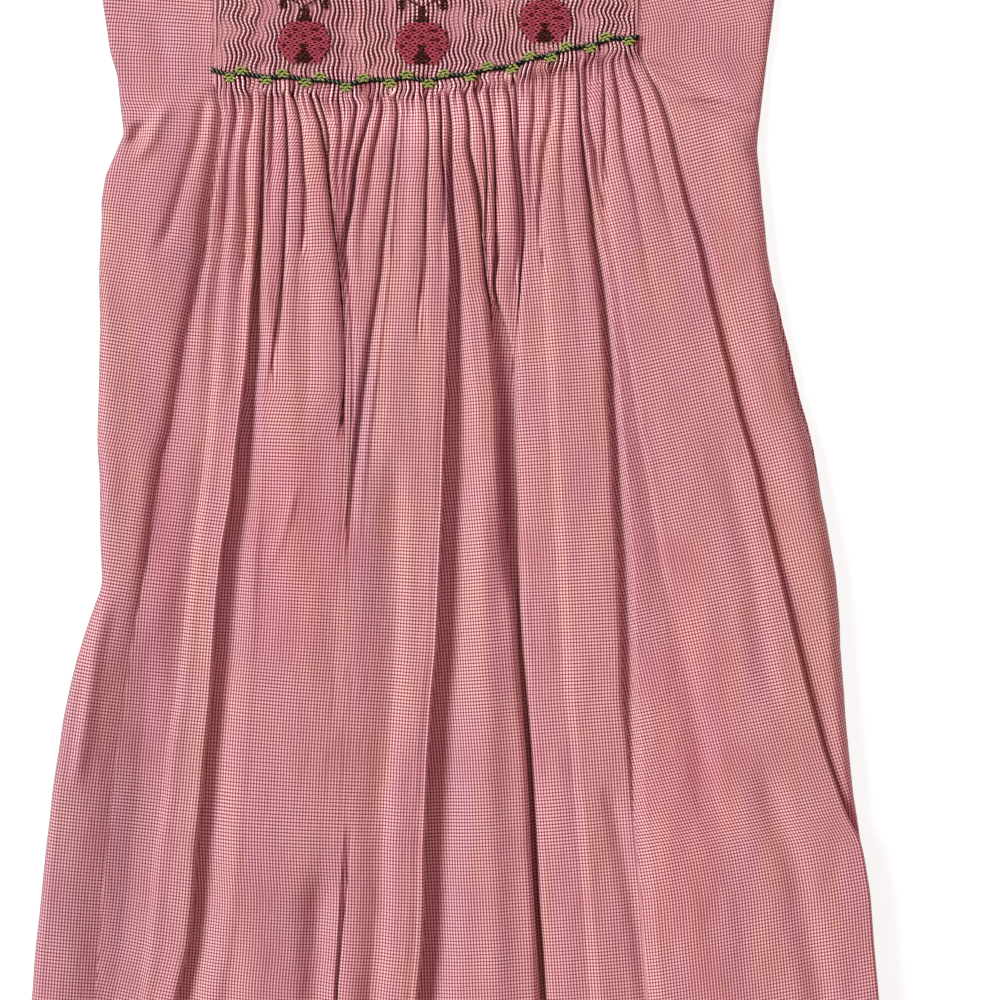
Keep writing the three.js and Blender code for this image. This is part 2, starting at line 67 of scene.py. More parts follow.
# Fold edges from left to right. side L: the fold on the left lies over the right one; R: the other way round.
# lip: how far across the edge lies, by down. open: how shut it is, 1 shut and 0 opened out flat.
# hidden: width of cloth tucked in it. drop: how far the cloth steps down there, mm. bed: flat floor of the recess.
# reach: how far the lower cloth takes to rise again. anchor: the edge runs the whole way down.
EDGES = [
    dict(name="v2", side="L", anchor=1, hidden=8, drop=3.9, bed=1, reach=34, share=0.94, round=14,
         lip=[(84, 216), (100, 217), (110, 220), (142, 219), (160, 215), (190, 210), (210, 206), (235, 204), (255, 202), (277, 197),
              (302, 192), (325, 187), (350, 182), (372, 179), (405, 174), (435, 169), (453, 163), (487, 157), (520, 152),
              (553, 148), (587, 143), (620, 137), (700, 125), (800, 112), (900, 103), (1000, 96), (1090, 90)],
         shut=[(84, .6), (110, 1), (560, 1), (600, .6), (650, 0), (1090, 0)]),
    dict(name="v3", side="L", hidden=12, drop=3.2, bed=1, reach=4, share=0.9, round=8,
         lip=[(92, 250), (110, 252), (125, 250), (150, 244), (175, 243), (200, 244), (245, 246), (267, 247), (300, 245)],
         shut=[(84, .5), (105, 1), (235, .9), (285, 0)]),
    dict(name="v4", side="L", anchor=1, hidden=38, drop=8.8, bed=9, reach=52,
         lip=[(85, 266), (90, 265), (135, 262), (185, 260), (230, 258), (272, 254), (310, 251), (350, 249), (400, 243), (450, 237),
              (500, 232), (550, 223), (600, 218), (650, 215), (700, 212), (750, 207), (800, 203), (850, 198), (900, 195),
              (950, 190), (1000, 178), (1090, 166)],
         shut=[(84, .6), (100, 1), (1090, 1)],
         beds=[(84, 1), (250, 2), (330, 4), (400, 6), (500, 10), (560, 13), (650, 11), (750, 6), (900, 5), (1090, 5)]),
    dict(name="v5", side="L", hidden=26, drop=3.6, bed=1, reach=4,
         lip=[(102, 283), (120, 285), (165, 286), (190, 285), (215, 284), (265, 282), (305, 279), (325, 276), (345, 274), (400, 268)],
         shut=[(84, .5), (105, 1), (280, 1), (330, .6), (390, 0)]),
    dict(name="v6", side="L", hidden=24, drop=3.0, bed=1, reach=4,
         lip=[(95, 292), (110, 297), (130, 300), (170, 302), (190, 304), (207, 305), (260, 306)],
         shut=[(84, .5), (105, 1), (180, .9), (270, 0)]),
    dict(name="v7", side="L", hidden=34, drop=8.0, bed=1, reach=18,
         lip=[(100, 311), (105, 312), (125, 319), (145, 322), (167, 326), (182, 327), (200, 330), (220, 332), (240, 335),
              (252, 337), (272, 339), (300, 341), (325, 344), (350, 345), (372, 346), (395, 345), (407, 345), (450, 344)],
         shut=[(84, .5), (105, .9), (160, 1), (380, 1), (405, .6), (440, 0)]),
    dict(name="v7r", side="R", hidden=12, drop=3.0, bed=1, reach=6,
         lip=[(95, 318), (115, 325), (132, 329), (145, 330), (167, 329), (182, 330), (240, 337), (300, 344)],
         shut=[(84, .5), (110, 1), (160, 1), (210, 0)]),
    dict(name="v8", side="L", hidden=26, drop=5.0, bed=2, reach=16,
         lip=[(107, 370), (122, 365), (140, 360), (152, 356), (172, 352), (195, 350), (215, 347), (235, 342), (250, 339.5),
              (300, 345), (400, 349)],
         shut=[(84, .5), (107, 1), (230, 1), (290, 0)]),
    dict(name="v9", side="L", hidden=32, drop=4.2, bed=2, reach=12,
         lip=[(90, 392), (110, 396), (125, 395), (150, 392), (172, 390), (195, 387), (220, 384), (245, 381), (270, 379),
              (295, 375), (320, 371), (345, 367), (370, 364), (395, 360), (420, 357), (453, 352), (487, 347), (530, 342)],
         shut=[(84, .5), (110, 1), (440, 1), (490, .6), (550, 0)]),
    dict(name="gap", side="R", hidden=6, drop=2.7, bed=3, reach=26,
         lip=[(700, 338), (860, 336), (1000, 336), (1090, 334)],
         shut=[(820, 0), (930, .7), (980, .9), (1090, 1)]),
    dict(name="v10", side="L", hidden=22, drop=3.2, bed=1, reach=4,
         lip=[(102, 424), (115, 426), (135, 427), (160, 426), (185, 425), (235, 424), (260, 424), (300, 422)],
         shut=[(84, .5), (105, 1), (230, 1), (350, 0)]),
    dict(name="v11", side="L", hidden=14, drop=3.5, bed=1, reach=2,
         lip=[(95, 438), (117, 440), (135, 440), (160, 441), (185, 444), (240, 446)],
         shut=[(84, .5), (105, 1), (165, 1), (240, 0)]),
    dict(name="v12", side="L", anchor=1, hidden=40, drop=8.8, bed=8, reach=40,
         lip=[(85, 445), (102, 447), (125, 449), (170, 447), (215, 447), (265, 450), (350, 447), (400, 446), (450, 444), (500, 443),
              (550, 441), (600, 439), (650, 437), (700, 432), (750, 429), (800, 427), (850, 425), (900, 425), (950, 423),
              (1000, 418), (1090, 410)],
         shut=[(84, .6), (102, 1), (1090, 1)],
         beds=[(84, 1), (180, 3), (250, 6), (400, 6), (500, 5), (600, 6), (700, 8), (800, 9), (900, 6), (1000, 5), (1090, 5)]),
    dict(name="v13", side="L", anchor=1, hidden=28, drop=8.5, bed=2, reach=6,
         lip=[(85, 461), (107, 465), (125, 467), (147, 466), (165, 470), (190, 475), (215, 479), (240, 481), (260, 483), (285, 485), (302, 489),
              (325, 491), (350, 494), (375, 496), (400, 499), (450, 500), (500, 503), (550, 508), (600, 513), (650, 517),
              (700, 521), (750, 526), (800, 529), (850, 531), (900, 534), (950, 537), (1000, 539), (1090, 545)],
         shut=[(84, .5), (107, .9), (150, 1), (1090, 1)]),
    dict(name="v14b", side="L", hidden=12, drop=3.0, bed=1, reach=2,
         lip=[(95, 475), (112, 480), (132, 483), (157, 485), (182, 486), (210, 485), (240, 484), (300, 492)],
         shut=[(84, .5), (107, 1), (195, 1), (270, 0)]),
    dict(name="v14", side="L", hidden=16, drop=3.8, bed=1, reach=3,
         lip=[(85, 486), (105, 489), (125, 491), (150, 493), (175, 494), (220, 495), (245, 495), (282, 492), (300, 494), (340, 500)],
         shut=[(84, .5), (107, 1), (235, 1), (310, 0)]),
    dict(name="v15r", side="R", hidden=14, drop=5.5, bed=1, reach=6,
         lip=[(200, 497), (250, 496), (285, 493), (297, 496), (320, 502), (340, 509), (355, 513.5), (400, 514)],
         shut=[(84, 0), (230, 0), (290, .9), (330, .9), (390, 0)]),
    dict(name="v15", side="L", hidden=14, drop=3.4, bed=1, reach=2,
         lip=[(85, 505), (95, 508), (120, 510), (150, 512), (180, 515), (200, 517), (225, 518), (240, 519), (262, 519), (300, 517)],
         shut=[(84, .5), (107, 1), (215, 1), (290, 0)]),
    dict(name="v16", side="R", anchor=1, hidden=36, drop=9.5, bed=1, reach=22,
         lip=[(80, 516), (102, 517), (125, 518), (140, 518), (155, 518.5), (170, 520), (190, 522), (210, 523.5), (228, 525), (245, 524), (270, 521.5), (300, 519), (345, 516),
              (400, 515), (450, 515), (500, 517), (550, 517), (600, 519), (650, 522), (700, 527), (750, 531), (800, 534),
              (850, 537), (900, 539), (950, 543), (1000, 546), (1090, 552)],
         shut=[(84, .5), (105, 1), (1090, 1)]),
    dict(name="v17", side="L", hidden=16, drop=4.6, bed=4, reach=5,
         lip=[(70, 550), (85, 549.5), (110, 548.5), (125, 546), (145, 542), (165, 540), (185, 539.5), (205, 538), (225, 537.5), (250, 539.5), (280, 543)],
         shut=[(70, .5), (92, 1), (215, 1), (275, 0)]),
    dict(name="v19", side="L", anchor=1, hidden=42, drop=7.2, bed=10, reach=48,
         lip=[(60, 577), (70, 578), (90, 578.5), (110, 578.5), (130, 579.5), (150, 581.5), (170, 583.5), (185, 585.5), (200, 587.5), (220, 589.5), (240, 591.5), (255, 594),
              (275, 597), (300, 600), (320, 602), (345, 604), (370, 607), (400, 608), (450, 612), (500, 614), (550, 618),
              (600, 620), (650, 622), (700, 623), (750, 628), (800, 632), (900, 641), (1000, 648), (1090, 652)],
         shut=[(56, .6), (80, 1), (690, 1), (760, .7), (830, .3), (1090, .25)],
         beds=[(56, 1), (160, 1), (250, 2), (320, 4), (450, 5), (600, 7), (700, 8), (800, 6), (1090, 4)]),
    dict(name="v18", side="R", hidden=8, drop=3.0, bed=1, reach=8,
         lip=[(70, 585), (90, 586), (110, 586.5), (120, 587.5), (135, 590), (148, 593.5), (160, 596.5), (175, 598.5), (195, 602), (220, 606),
              (245, 611), (270, 615), (295, 619), (320, 622), (345, 626), (370, 630), (395, 634), (427, 637), (453, 642), (480, 647),
              (510, 652), (567, 660)],
         shut=[(56, .5), (80, 1), (150, 1), (225, 0)]),
    dict(name="v20", side="L", hidden=24, drop=4.0, bed=1, reach=10,
         lip=[(60, 602), (92, 603), (110, 603.5), (150, 603.5), (162, 603), (200, 607)],
         shut=[(50, .5), (72, 1), (140, 1), (190, 0)]),
    dict(name="v21", side="L", anchor=1, hidden=22, drop=3.2, bed=5, reach=36,
         lip=[(50, 638), (60, 641), (75, 647), (90, 655), (105, 660), (125, 666), (150, 672), (170, 677), (190, 682), (210, 687), (232, 694),
              (255, 700), (280, 705), (302, 710), (325, 716), (350, 722), (375, 729), (402, 735), (427, 742), (453, 750),
              (480, 757), (510, 763), (537, 770), (567, 777), (600, 785), (630, 792), (663, 800), (697, 808), (723, 815),
              (753, 823), (783, 833), (813, 843), (832, 852), (842, 858.5), (860, 862.5), (900, 869), (950, 872.5), (1000, 877), (1090, 884)],
         shut=[(56, .6), (90, 1), (1090, 1)]),
]

# Troughs (depth over 0) and ridges (under 0) in the cloth between the edges: path by down, depth in mm,
# width of its left and right flanks, and how far it fades in and out at its ends.
SOFT = [
    dict(path=[(84, 209), (102, 205), (125, 201), (142, 197), (180, 185), (222, 172), (260, 156)], depth=1.8, left=7, right=6, fade=30),
    dict(path=[(85, 234), (120, 236), (170, 231), (240, 226)], depth=0.9, left=4, right=4, fade=30),
    dict(path=[(120, 250), (180, 246), (300, 242), (420, 236)], depth=1.2, left=9, right=7, fade=50),
    dict(path=[(300, 262), (420, 262), (560, 262), (700, 250), (880, 236)], depth=1.4, left=14, right=18, fade=120),
    dict(path=[(330, 285), (450, 290), (600, 300), (800, 300), (960, 292)], depth=-1.2, left=22, right=26, fade=110),
    dict(path=[(480, 299), (515, 290), (547, 280), (575, 264)], depth=-0.9, left=5, right=4, fade=22),
    dict(path=[(440, 396), (600, 396), (700, 392), (800, 383), (900, 381), (1090, 372)], depth=2.6, left=20, right=9, fade=60),
    dict(path=[(860, 322), (930, 318), (1000, 316), (1090, 312)], depth=3.4, left=16, right=14, fade=50),
    dict(path=[(100, 234), (128, 230), (164, 226), (200, 225), (230, 223), (262, 220), (300, 218), (340, 214), (380, 211), (420, 208), (460, 204), (500, 199), (560, 191), (600, 187), (650, 181), (700, 175),
               (750, 166), (800, 162), (850, 154), (900, 149), (950, 145), (1000, 139), (1090, 130)], depth=2.4, left=20, right=5, fade=50),
    dict(path=[(600, 150), (700, 143), (800, 134), (900, 124), (1000, 112), (1090, 104)], depth=4.2, left=42, right=18, fade=110),
    dict(path=[(585, 111), (610, 106), (640, 99), (680, 92), (730, 86), (800, 74)], depth=-1.7, left=7, right=9, fade=45),
    dict(path=[(260, 112), (400, 110), (560, 112)], depth=-0.9, left=10, right=14, fade=70),
    dict(path=[(118, 143), (131, 138), (141, 134), (149, 128)], depth=2.6, left=8, right=7, fade=12),
    dict(path=[(96, 170), (128, 156), (148, 148), (168, 128)], depth=-1.6, left=7, right=9, fade=22),
    dict(path=[(56, 640), (65, 652), (78, 680), (92, 706), (100, 725)], depth=1.5, left=12, right=14, fade=12),
    dict(path=[(96, 690), (106, 712), (114, 738), (122, 762)], depth=2.2, left=20, right=22, fade=8),
    dict(path=[(128, 716), (140, 732), (150, 745), (160, 752)], depth=-1.3, left=12, right=10, fade=12),
    dict(path=[(0, 150), (40, 158), (80, 170)], depth=0.7, left=12, right=14, fade=30),
    dict(path=[(-150, 720), (-60, 700), (30, 700)], depth=0.6, left=16, right=18, fade=60),
    dict(path=[(420, 713), (467, 727), (517, 738), (567, 750), (617, 757), (667, 765), (700, 773), (733, 780)], depth=1.3, left=14, right=10, fade=60),
    dict(path=[(740, 748), (777, 763), (833, 783), (887, 797), (953, 810), (1000, 821), (1090, 838)], depth=2.0, left=16, right=13, fade=70),
    dict(path=[(780, 606), (793, 610), (820, 617), (850, 622), (877, 627), (907, 633), (933, 638), (967, 642), (1090, 656)], depth=1.6, left=10, right=8, fade=30),
    dict(path=[(150, 596), (170, 600), (195, 603), (220, 607), (245, 610), (270, 614), (295, 618), (320, 621), (345, 625), (370, 629), (395, 633),
               (427, 636), (453, 641), (480, 646), (510, 651), (567, 660), (620, 672)], depth=1.1, left=13, right=5, fade=70),
    dict(path=[(520, 652), (613, 670), (700, 688), (783, 705), (880, 726)], depth=1.0, left=16, right=12, fade=90),
    dict(path=[(700, 560), (820, 566), (950, 575), (1090, 586)], depth=-1.4, left=26, right=30, fade=120),
    dict(path=[(300, 545), (420, 548), (560, 556)], depth=-0.8, left=22, right=26, fade=90),
    dict(path=[(450, 478), (600, 484), (760, 490), (900, 494), (1090, 500)], depth=-1.6, left=16, right=14, fade=90),
    dict(path=[(620, 640), (740, 655), (860, 668), (1000, 690)], depth=-1.1, left=20, right=26, fade=120),
    dict(path=[(900, 240), (1000, 228), (1090, 222)], depth=1.8, left=18, right=20, fade=60),
    dict(path=[(290, 494), (350, 502), (420, 507), (500, 510), (560, 512), (610, 517)], depth=3.0, left=8, right=8, fade=40),
]

# Height of the folds' tops above the back, mm, by down.
CREST = np.array([(-355, .3), (-200, .5), (-20, 1.2), (50, 2.0), (80, 2.6), (92, 4.0), (105, 5.0), (150, 6.2), (250, 8.0), (400, 9.8), (600, 11.2),
                  (800, 12.2), (1000, 12.8), (1090, 13.0)], float)
# Share of that height for the cloth between each edge and the next, from the left side seam on.
TOPS = [0.8, 0.78, 0.9, 1, 1, 1, .75, .95, .8, .95, .95, 1, .85, .8, .8, .8, .6, .8, .7, .5, .95, 1.05, .62, .95, 1, .5]


def lerp(table, at, column=1):
    t = np.asarray(table, float)
    return np.interp(at, t[:, 0], t[:, column])


def soft(t):
    return 0.5 - 0.5 * np.cos(np.pi * np.clip(t, 0, 1))


FINE = np.arange(-360.0, 1096.0, 1.0)


def smooth(values, sigma):
    n = int(4 * sigma)
    k = np.exp(-0.5 * (np.arange(-n, n + 1) / sigma) ** 2)
    k /= k.sum()
    padded = np.concatenate([2 * values[0] - values[n:0:-1], values, 2 * values[-1] - values[-2:-n - 2:-1]])
    return np.convolve(padded, k, "valid")


class Curve:
    """A value by down, from a short table, with its corners rounded."""

    def __init__(self, table, sigma=5.0, column=1):
        self.values = smooth(lerp(table, FINE, column), sigma)

    def __call__(self, down):
        return np.interp(down, FINE, self.values)


left_edge = Curve(OUTLINE, 3.0, 1)
right_edge = Curve(OUTLINE, 3.0, 2)
crest_at = Curve(CREST, 6.0)
across_fine = np.arange(60.0, 820.0, 1.0)
smock_fine = smooth(np.interp(across_fine, SMOCK_END[:, 0], SMOCK_END[:, 1]), 8.0)


def smock_end(across):
    return np.interp(across, across_fine, smock_fine)


def bend(across, v):
    """Rows are level at the hem and follow the lower edge of the smocking near it."""
    shift = smock_end(np.clip(across, INSET_L, INSET_R)) - 90
    share = np.where(v < 90, soft((v + 60) / 150), 1 - soft((v - 90) / 260))
    return v + shift * share


def waves(count, long_x, long_y, seed):
    """A sum of waves that makes an even, aimless unevenness of about one unit."""
    r = np.random.default_rng(seed)
    kx, ky = r.normal(0, 1 / long_x, count), r.normal(0, 1 / long_y, count)
    ph = r.uniform(0, 2 * np.pi, count)

    def at(x, y):
        total = np.zeros(np.broadcast(x, y).shape)
        for a, b, c in zip(kx, ky, ph):
            total += np.cos(2 * np.pi * (a * x + b * y) + c)
        return total * math.sqrt(2 / count)

    return at


def lift(across, down):
    off = (across - MID_ACROSS) / 431.0
    return HEM_LIFT * off * off * soft((down - 300) / (HEM - 300))


def to_frame(across, down, height_mm):
    """Grid steps and millimetres over the surface to metres in the frame."""
    return np.stack([(across - MID_ACROSS) * GRID, (MID_DOWN - down + lift(across, down)) * GRID, height_mm * 1e-3], -1)


# ------------------------------------------------------------------ columns of the front's cloth
unit = (INSET_R - INSET_L) * FULLNESS / (PLEATS * PER_PLEAT)  # cloth between two columns
COLS = PLEATS * PER_PLEAT
SIDE_L, SIDE_R = 60, 72  # columns in the plain side parts

n_e = len(EDGES)
col_step = (INSET_R - INSET_L) / COLS
for e in EDGES:
    e["lip_at"], e["shut_at"] = Curve(e["lip"], 5.0), Curve(e["shut"], 4.0)
    e["bed_at"] = Curve(e["beds"], 12.0) if "beds" in e else (lambda d, b=e["bed"]: np.full(np.shape(d), float(b)))
# each edge takes a few columns of cloth where it leaves the smocking
spot = np.array([(float(e["lip_at"](98.0)) if e["name"] != "gap" else 409.0) for e in EDGES])
spot = np.clip((spot - INSET_L) / col_step, 8, COLS - 8)
for i in range(1, n_e):
    spot[i] = max(spot[i], spot[i - 1] + 14)
spot[-1] = COLS - 8
spot = np.round(spot).astype(int)
room = np.minimum(np.diff(np.concatenate([[-8], spot])), np.diff(np.concatenate([spot, [COLS + 8]])))
for e, r in zip(EDGES, room):
    e["m"] = int(min(14, 2 * (int(0.6 * r) // 2)))

# kinds: list of (is_edge, index, fraction) for every column, from the left outline to the right one
kinds = []
for j in range(SIDE_L):
    kinds.append((0, -1, j / (SIDE_L - 1)))
col_l, col_r = [], []  # first and last column of every edge
for i, e in enumerate(EDGES):
    m = e["m"]
    col_l.append(len(kinds))
    for j in range(m + 1):
        kinds.append((1, i, j / m))
    col_r.append(len(kinds) - 1)
    if i < n_e - 1:
        n = (spot[i + 1] - EDGES[i + 1]["m"] // 2) - (spot[i] + m // 2)
        for j in range(1, n):
            kinds.append((0, i, 0.55 * j / n + 0.45 * (0.5 - 0.5 * math.cos(math.pi * j / n))))
for j in range(1, SIDE_R + 1):
    kinds.append((0, n_e - 1, j / SIDE_R))
is_edge = np.array([k[0] for k in kinds], bool)
index = np.array([k[1] for k in kinds])
frac = np.array([k[2] for k in kinds])
n_cols = len(kinds)
first_inset = SIDE_L
last_inset = col_r[-1]
inset_cols = last_inset - first_inset
# ------------------------------------------------------------------ rows
rows_above = np.concatenate([np.arange(SHOULDER, -230, 7.5), np.arange(-230, -188, 3.0), np.arange(-188, -20, 7.0), np.arange(-20, 90, 2.0)])
rows_below = np.concatenate([np.arange(90, 150, 2.0), np.arange(150, 300, 4.0), np.arange(300, HEM - 3, 7.0), [HEM]])
V = np.concatenate([rows_above, rows_below])
top_row = len(rows_above)  # first row of the folds
n_rows = len(V)


def settle(curve, v):
    """Where a line that runs down the cloth crosses each bent row."""
    x = curve(v)
    for _ in range(6):
        x = curve(bend(x, v))
    return x


xl, xr = settle(left_edge, V), settle(right_edge, V)
lips = np.stack([settle(e["lip_at"], V) for e in EDGES], 1)
lip_down = np.stack([bend(lips[:, i], V) for i in range(n_e)], 1)
shut = np.clip(np.stack([e["shut_at"](lip_down[:, i]) for i, e in enumerate(EDGES)], 1), 0, 1)
shut[lip_down < 40] = 0
start = int(np.argmin(np.abs(V - 112)))
shut[V < 112] = np.maximum(shut[V < 112], shut[start])
# an opened edge lies where its cloth puts it, between the edges that run the whole way
anchors = [i for i, e in enumerate(EDGES) if e.get("anchor")]
path = lips.copy()
fade = np.exp(-np.abs(V[:, None] - V[None, :]) / 300.0)
held = np.stack([(fade * shut[:, i][None, :]).max(1) for i in range(n_e)], 1)  # how far a line still keeps to its own way
middle_col = np.array([0.5 * (a + b) for a, b in zip(col_l, col_r)])
for _ in range(400):
    for i in range(n_e):
        if i in anchors:
            continue
        wl, wr = middle_col[i] - middle_col[i - 1], middle_col[i + 1] - middle_col[i]
        between = (lips[:, i - 1] * wr + lips[:, i + 1] * wl) / (wl + wr)
        lips[:, i] = held[:, i] * path[:, i] + (1 - held[:, i]) * between
opening = np.zeros((n_rows, n_e))
for i in range(n_e):
    if i not in anchors:
        per_col = (lips[:, i + 1] - lips[:, i - 1]) / (middle_col[i + 1] - middle_col[i - 1])
        opening[:, i] = (1 - shut[:, i]) * 0.5 * EDGES[i]["m"] * per_col
gap_l, gap_r = lips - opening, lips + opening  # left and right lip of every edge
for i in range(1, n_e):  # lips never cross
    mid = 0.5 * (gap_r[:, i - 1] + gap_l[:, i])
    crossed = gap_l[:, i] < gap_r[:, i - 1] + 0.02
    gap_r[:, i - 1] = np.where(crossed, mid - 0.01, gap_r[:, i - 1])
    gap_l[:, i] = np.where(crossed, mid + 0.01, gap_l[:, i])
gap_r = np.maximum(gap_r, gap_l)
tops = np.repeat(np.array(TOPS)[None, : n_e + 1], n_rows, 0)
EDGE_NAMES = [e["name"] for e in EDGES]
for k in range(EDGE_NAMES.index("v13") + 1, EDGE_NAMES.index("v16") + 1):  # a recess opens there down the skirt
    tops[:, k] *= 1 - 0.72 * soft((V - 240) / 130)
hold = np.ones((n_rows, n_e + 1))  # how far each stretch stands alone
for k in range(1, n_e):
    hold[:, k] = np.maximum(shut[:, k - 1] if k - 1 not in anchors else 0.25, shut[:, k] if k not in anchors else 0.25)
own = tops.copy()
for _ in range(200):
    for k in range(1, n_e):
        near = 0.5 * ((tops[:, k - 1] if k - 1 not in anchors else own[:, k]) + (tops[:, k + 1] if k not in anchors else own[:, k]))
        tops[:, k] = hold[:, k] * own[:, k] + (1 - hold[:, k]) * near

# ------------------------------------------------------------------ the front's cloth, row by row
X = np.zeros((n_rows, n_cols))
Z = np.zeros((n_rows, n_cols))
starts = np.column_stack([xl, gap_r])  # left end of each stretch of cloth
ends = np.column_stack([gap_l, xr])
mid_down = bend(0.5 * (starts + ends), V[:, None])
H = crest_at(mid_down) * tops
drops = np.stack([np.minimum(e["drop"], 0.86 * crest_at(lip_down[:, i])) * shut[:, i] for i, e in enumerate(EDGES)], 1)
drops *= soft((V[:, None] - 82) / 16)
beds = np.stack([e["bed_at"](lip_down[:, i]) for i, e in enumerate(EDGES)], 1)
side_up = soft((V + 120) / 160) * 0.6 + 0.4



def near_top(reach):
    """The folds stand close together at the smocking, so the cloth between them rises at once."""
    return np.minimum(reach, np.interp(V, (96, 150, 250, 350, 500), (2, 4, 8, 20, 44)))


z_left = np.zeros((n_rows, n_e + 1))  # heights of each stretch at its two ends
z_right = np.zeros((n_rows, n_e + 1))
roll = np.zeros((n_rows, n_e))
for k in range(n_e + 1):
    w = np.maximum(ends[:, k] - starts[:, k], 0.5)
    sel = np.where(~is_edge & (index == k - 1))[0]
    f = frac[sel][None, :]
    d = f * w[:, None]
    x = starts[:, [k]] + f * (ends - starts)[:, [k]]
    low_l = np.zeros(n_rows)
    low_r = np.zeros(n_rows)
    lip_l = np.zeros(n_rows)
    lip_r = np.zeros(n_rows)
    bed_l, reach_l, bed_r, reach_r = 0, 4, 0, 4
    share_l = share_r = 0.42
    round_l = round_r = None
    if k > 0:
        e = EDGES[k - 1]
        if e["side"] == "L":
            low_l, bed_l, reach_l = drops[:, k - 1], beds[:, k - 1] * shut[:, k - 1], near_top(e["reach"])
        else:
            lip_l, share_l, round_l = drops[:, k - 1], e.get("share", 0.42), e.get("round")
    if k < n_e:
        e = EDGES[k]
        if e["side"] == "R":
            low_r, bed_r, reach_r = drops[:, k], beds[:, k] * shut[:, k], near_top(e["reach"])
        else:
            lip_r, share_r, round_r = drops[:, k], e.get("share", 0.42), e.get("round")

    def rise(dist, bed, reach, room):
        bed = np.minimum(bed, 0.45 * room)
        reach = np.clip(reach, 1.0, np.maximum(0.9 * room - bed, 1.0))
        return soft((dist - bed[:, None]) / reach[:, None])

    bed_l, bed_r = np.broadcast_to(bed_l, (n_rows,)) * 1.0, np.broadcast_to(bed_r, (n_rows,)) * 1.0
    dome = 0.14 * (hold[:, [k]] if 0 < k < n_e else 1.0)
    z = H[:, [k]] * (1 - dome + dome * np.sin(np.pi * f))
    z = z - low_l[:, None] * (1 - rise(d, bed_l, reach_l * np.ones(n_rows), w))
    z = z - low_r[:, None] * (1 - rise(w[:, None] - d, bed_r, reach_r * np.ones(n_rows), w))
    for share, wide, lip, dist in ((share_l, round_l, lip_l, d), (share_r, round_r, lip_r, w[:, None] - d)):
        r = np.minimum(0.34 * w, 0.9 * lip if wide is None else wide) + 1e-6  # width of the rolled lip, in grid steps
        q = np.clip(1 - dist / r[:, None], 0, 1)
        z = z - share * lip[:, None] * (1 - np.sqrt(np.clip(1 - q**2, 0, 1)) if wide is None else 0.5 * q**2 + 0.5 * q**4)
    if k == 0:
        z = z * side_up[:, None] ** 0.3
        z = z * np.sqrt(np.clip(1 - np.clip(1 - d / 10, 0, 1) ** 2, 0, 1)) ** 0.8
    if k == n_e:
        hidden_below = soft((V - 800) / 40)
        dr = w[:, None] - d
        z = z * np.sqrt(np.clip(1 - np.clip(1 - dr / 16, 0, 1) ** 2, 0, 1)) ** 0.8 * (1 - 0.8 * hidden_below[:, None])
    X[:, sel] = x
    Z[:, sel] = z
    top = H[:, k] * (1 - np.broadcast_to(dome, (n_rows, 1))[:, 0])
    z_left[:, k] = top - low_l - share_l * lip_l
    z_right[:, k] = top - low_r - share_r * lip_r

for i, e in enumerate(EDGES):
    sel = np.where(is_edge & (index == i))[0]
    g = frac[sel][None, :]
    A = (shut[:, i] * soft((V - 82) / 13))[:, None]
    drop = drops[:, i][:, None]
    wl, wr = (ends - starts)[:, i][:, None], (ends - starts)[:, i + 1][:, None]
    over = wl if e["side"] == "L" else wr
    sign = -1.0 if e["side"] == "L" else 1.0
    under = np.clip(np.sqrt(np.clip((e["hidden"] / 2) ** 2 - (drop / 0.44) ** 2, 9, None)), 3, 0.75 * over + 3)
    zl, zr = z_right[:, [i]], z_left[:, [i + 1]]
    t = g if e["side"] == "L" else 1 - g  # 0 at the upper lip, 1 at the lower cloth
    z_up, z_low = (zl, zr) if e["side"] == "L" else (zr, zl)
    share = e.get("share", 0.42)
    r = np.minimum(np.minimum(0.34 * over, 0.9 * drop), 0.4 * under) + 1e-6
    if share > 0.8:
        under = under * 0 + 0.4
        r = r * 0 + 0.1
    a = np.clip(t / 0.22, 0, 1) * np.pi / 2
    x_roll = sign * r * (1 - np.cos(a))
    z_roll = z_up - 0.9 * min(0.42, 0.98 - share) * drop * np.sin(a)
    b = np.clip((t - 0.22) / 0.30, 0, 1)
    x_back = x_roll + b * (sign * under - sign * r)
    z_back = z_roll + (z_low + 0.25 - (z_up - 0.9 * min(0.42, 0.98 - share) * drop)) * b**1.3
    c = np.clip((t - 0.52) / 0.48, 0, 1)
    x_shut = np.where(t < 0.52, x_back, sign * under * (1 - c))
    z_shut = np.where(t < 0.52, z_back, z_low + 0.25 * (1 - c))
    x_open = gap_l[:, [i]] + g * (gap_r - gap_l)[:, [i]]
    z_open = zl + (zr - zl) * g - 0.30 * crest_at(lip_down[:, [i]]) * np.sin(np.pi * g) ** 2 * A
    base = gap_r[:, [i]] if e["side"] == "R" else gap_l[:, [i]]
    X[:, sel] = A * (base + x_shut) + (1 - A) * x_open
    Z[:, sel] = A * z_shut + (1 - A) * z_open

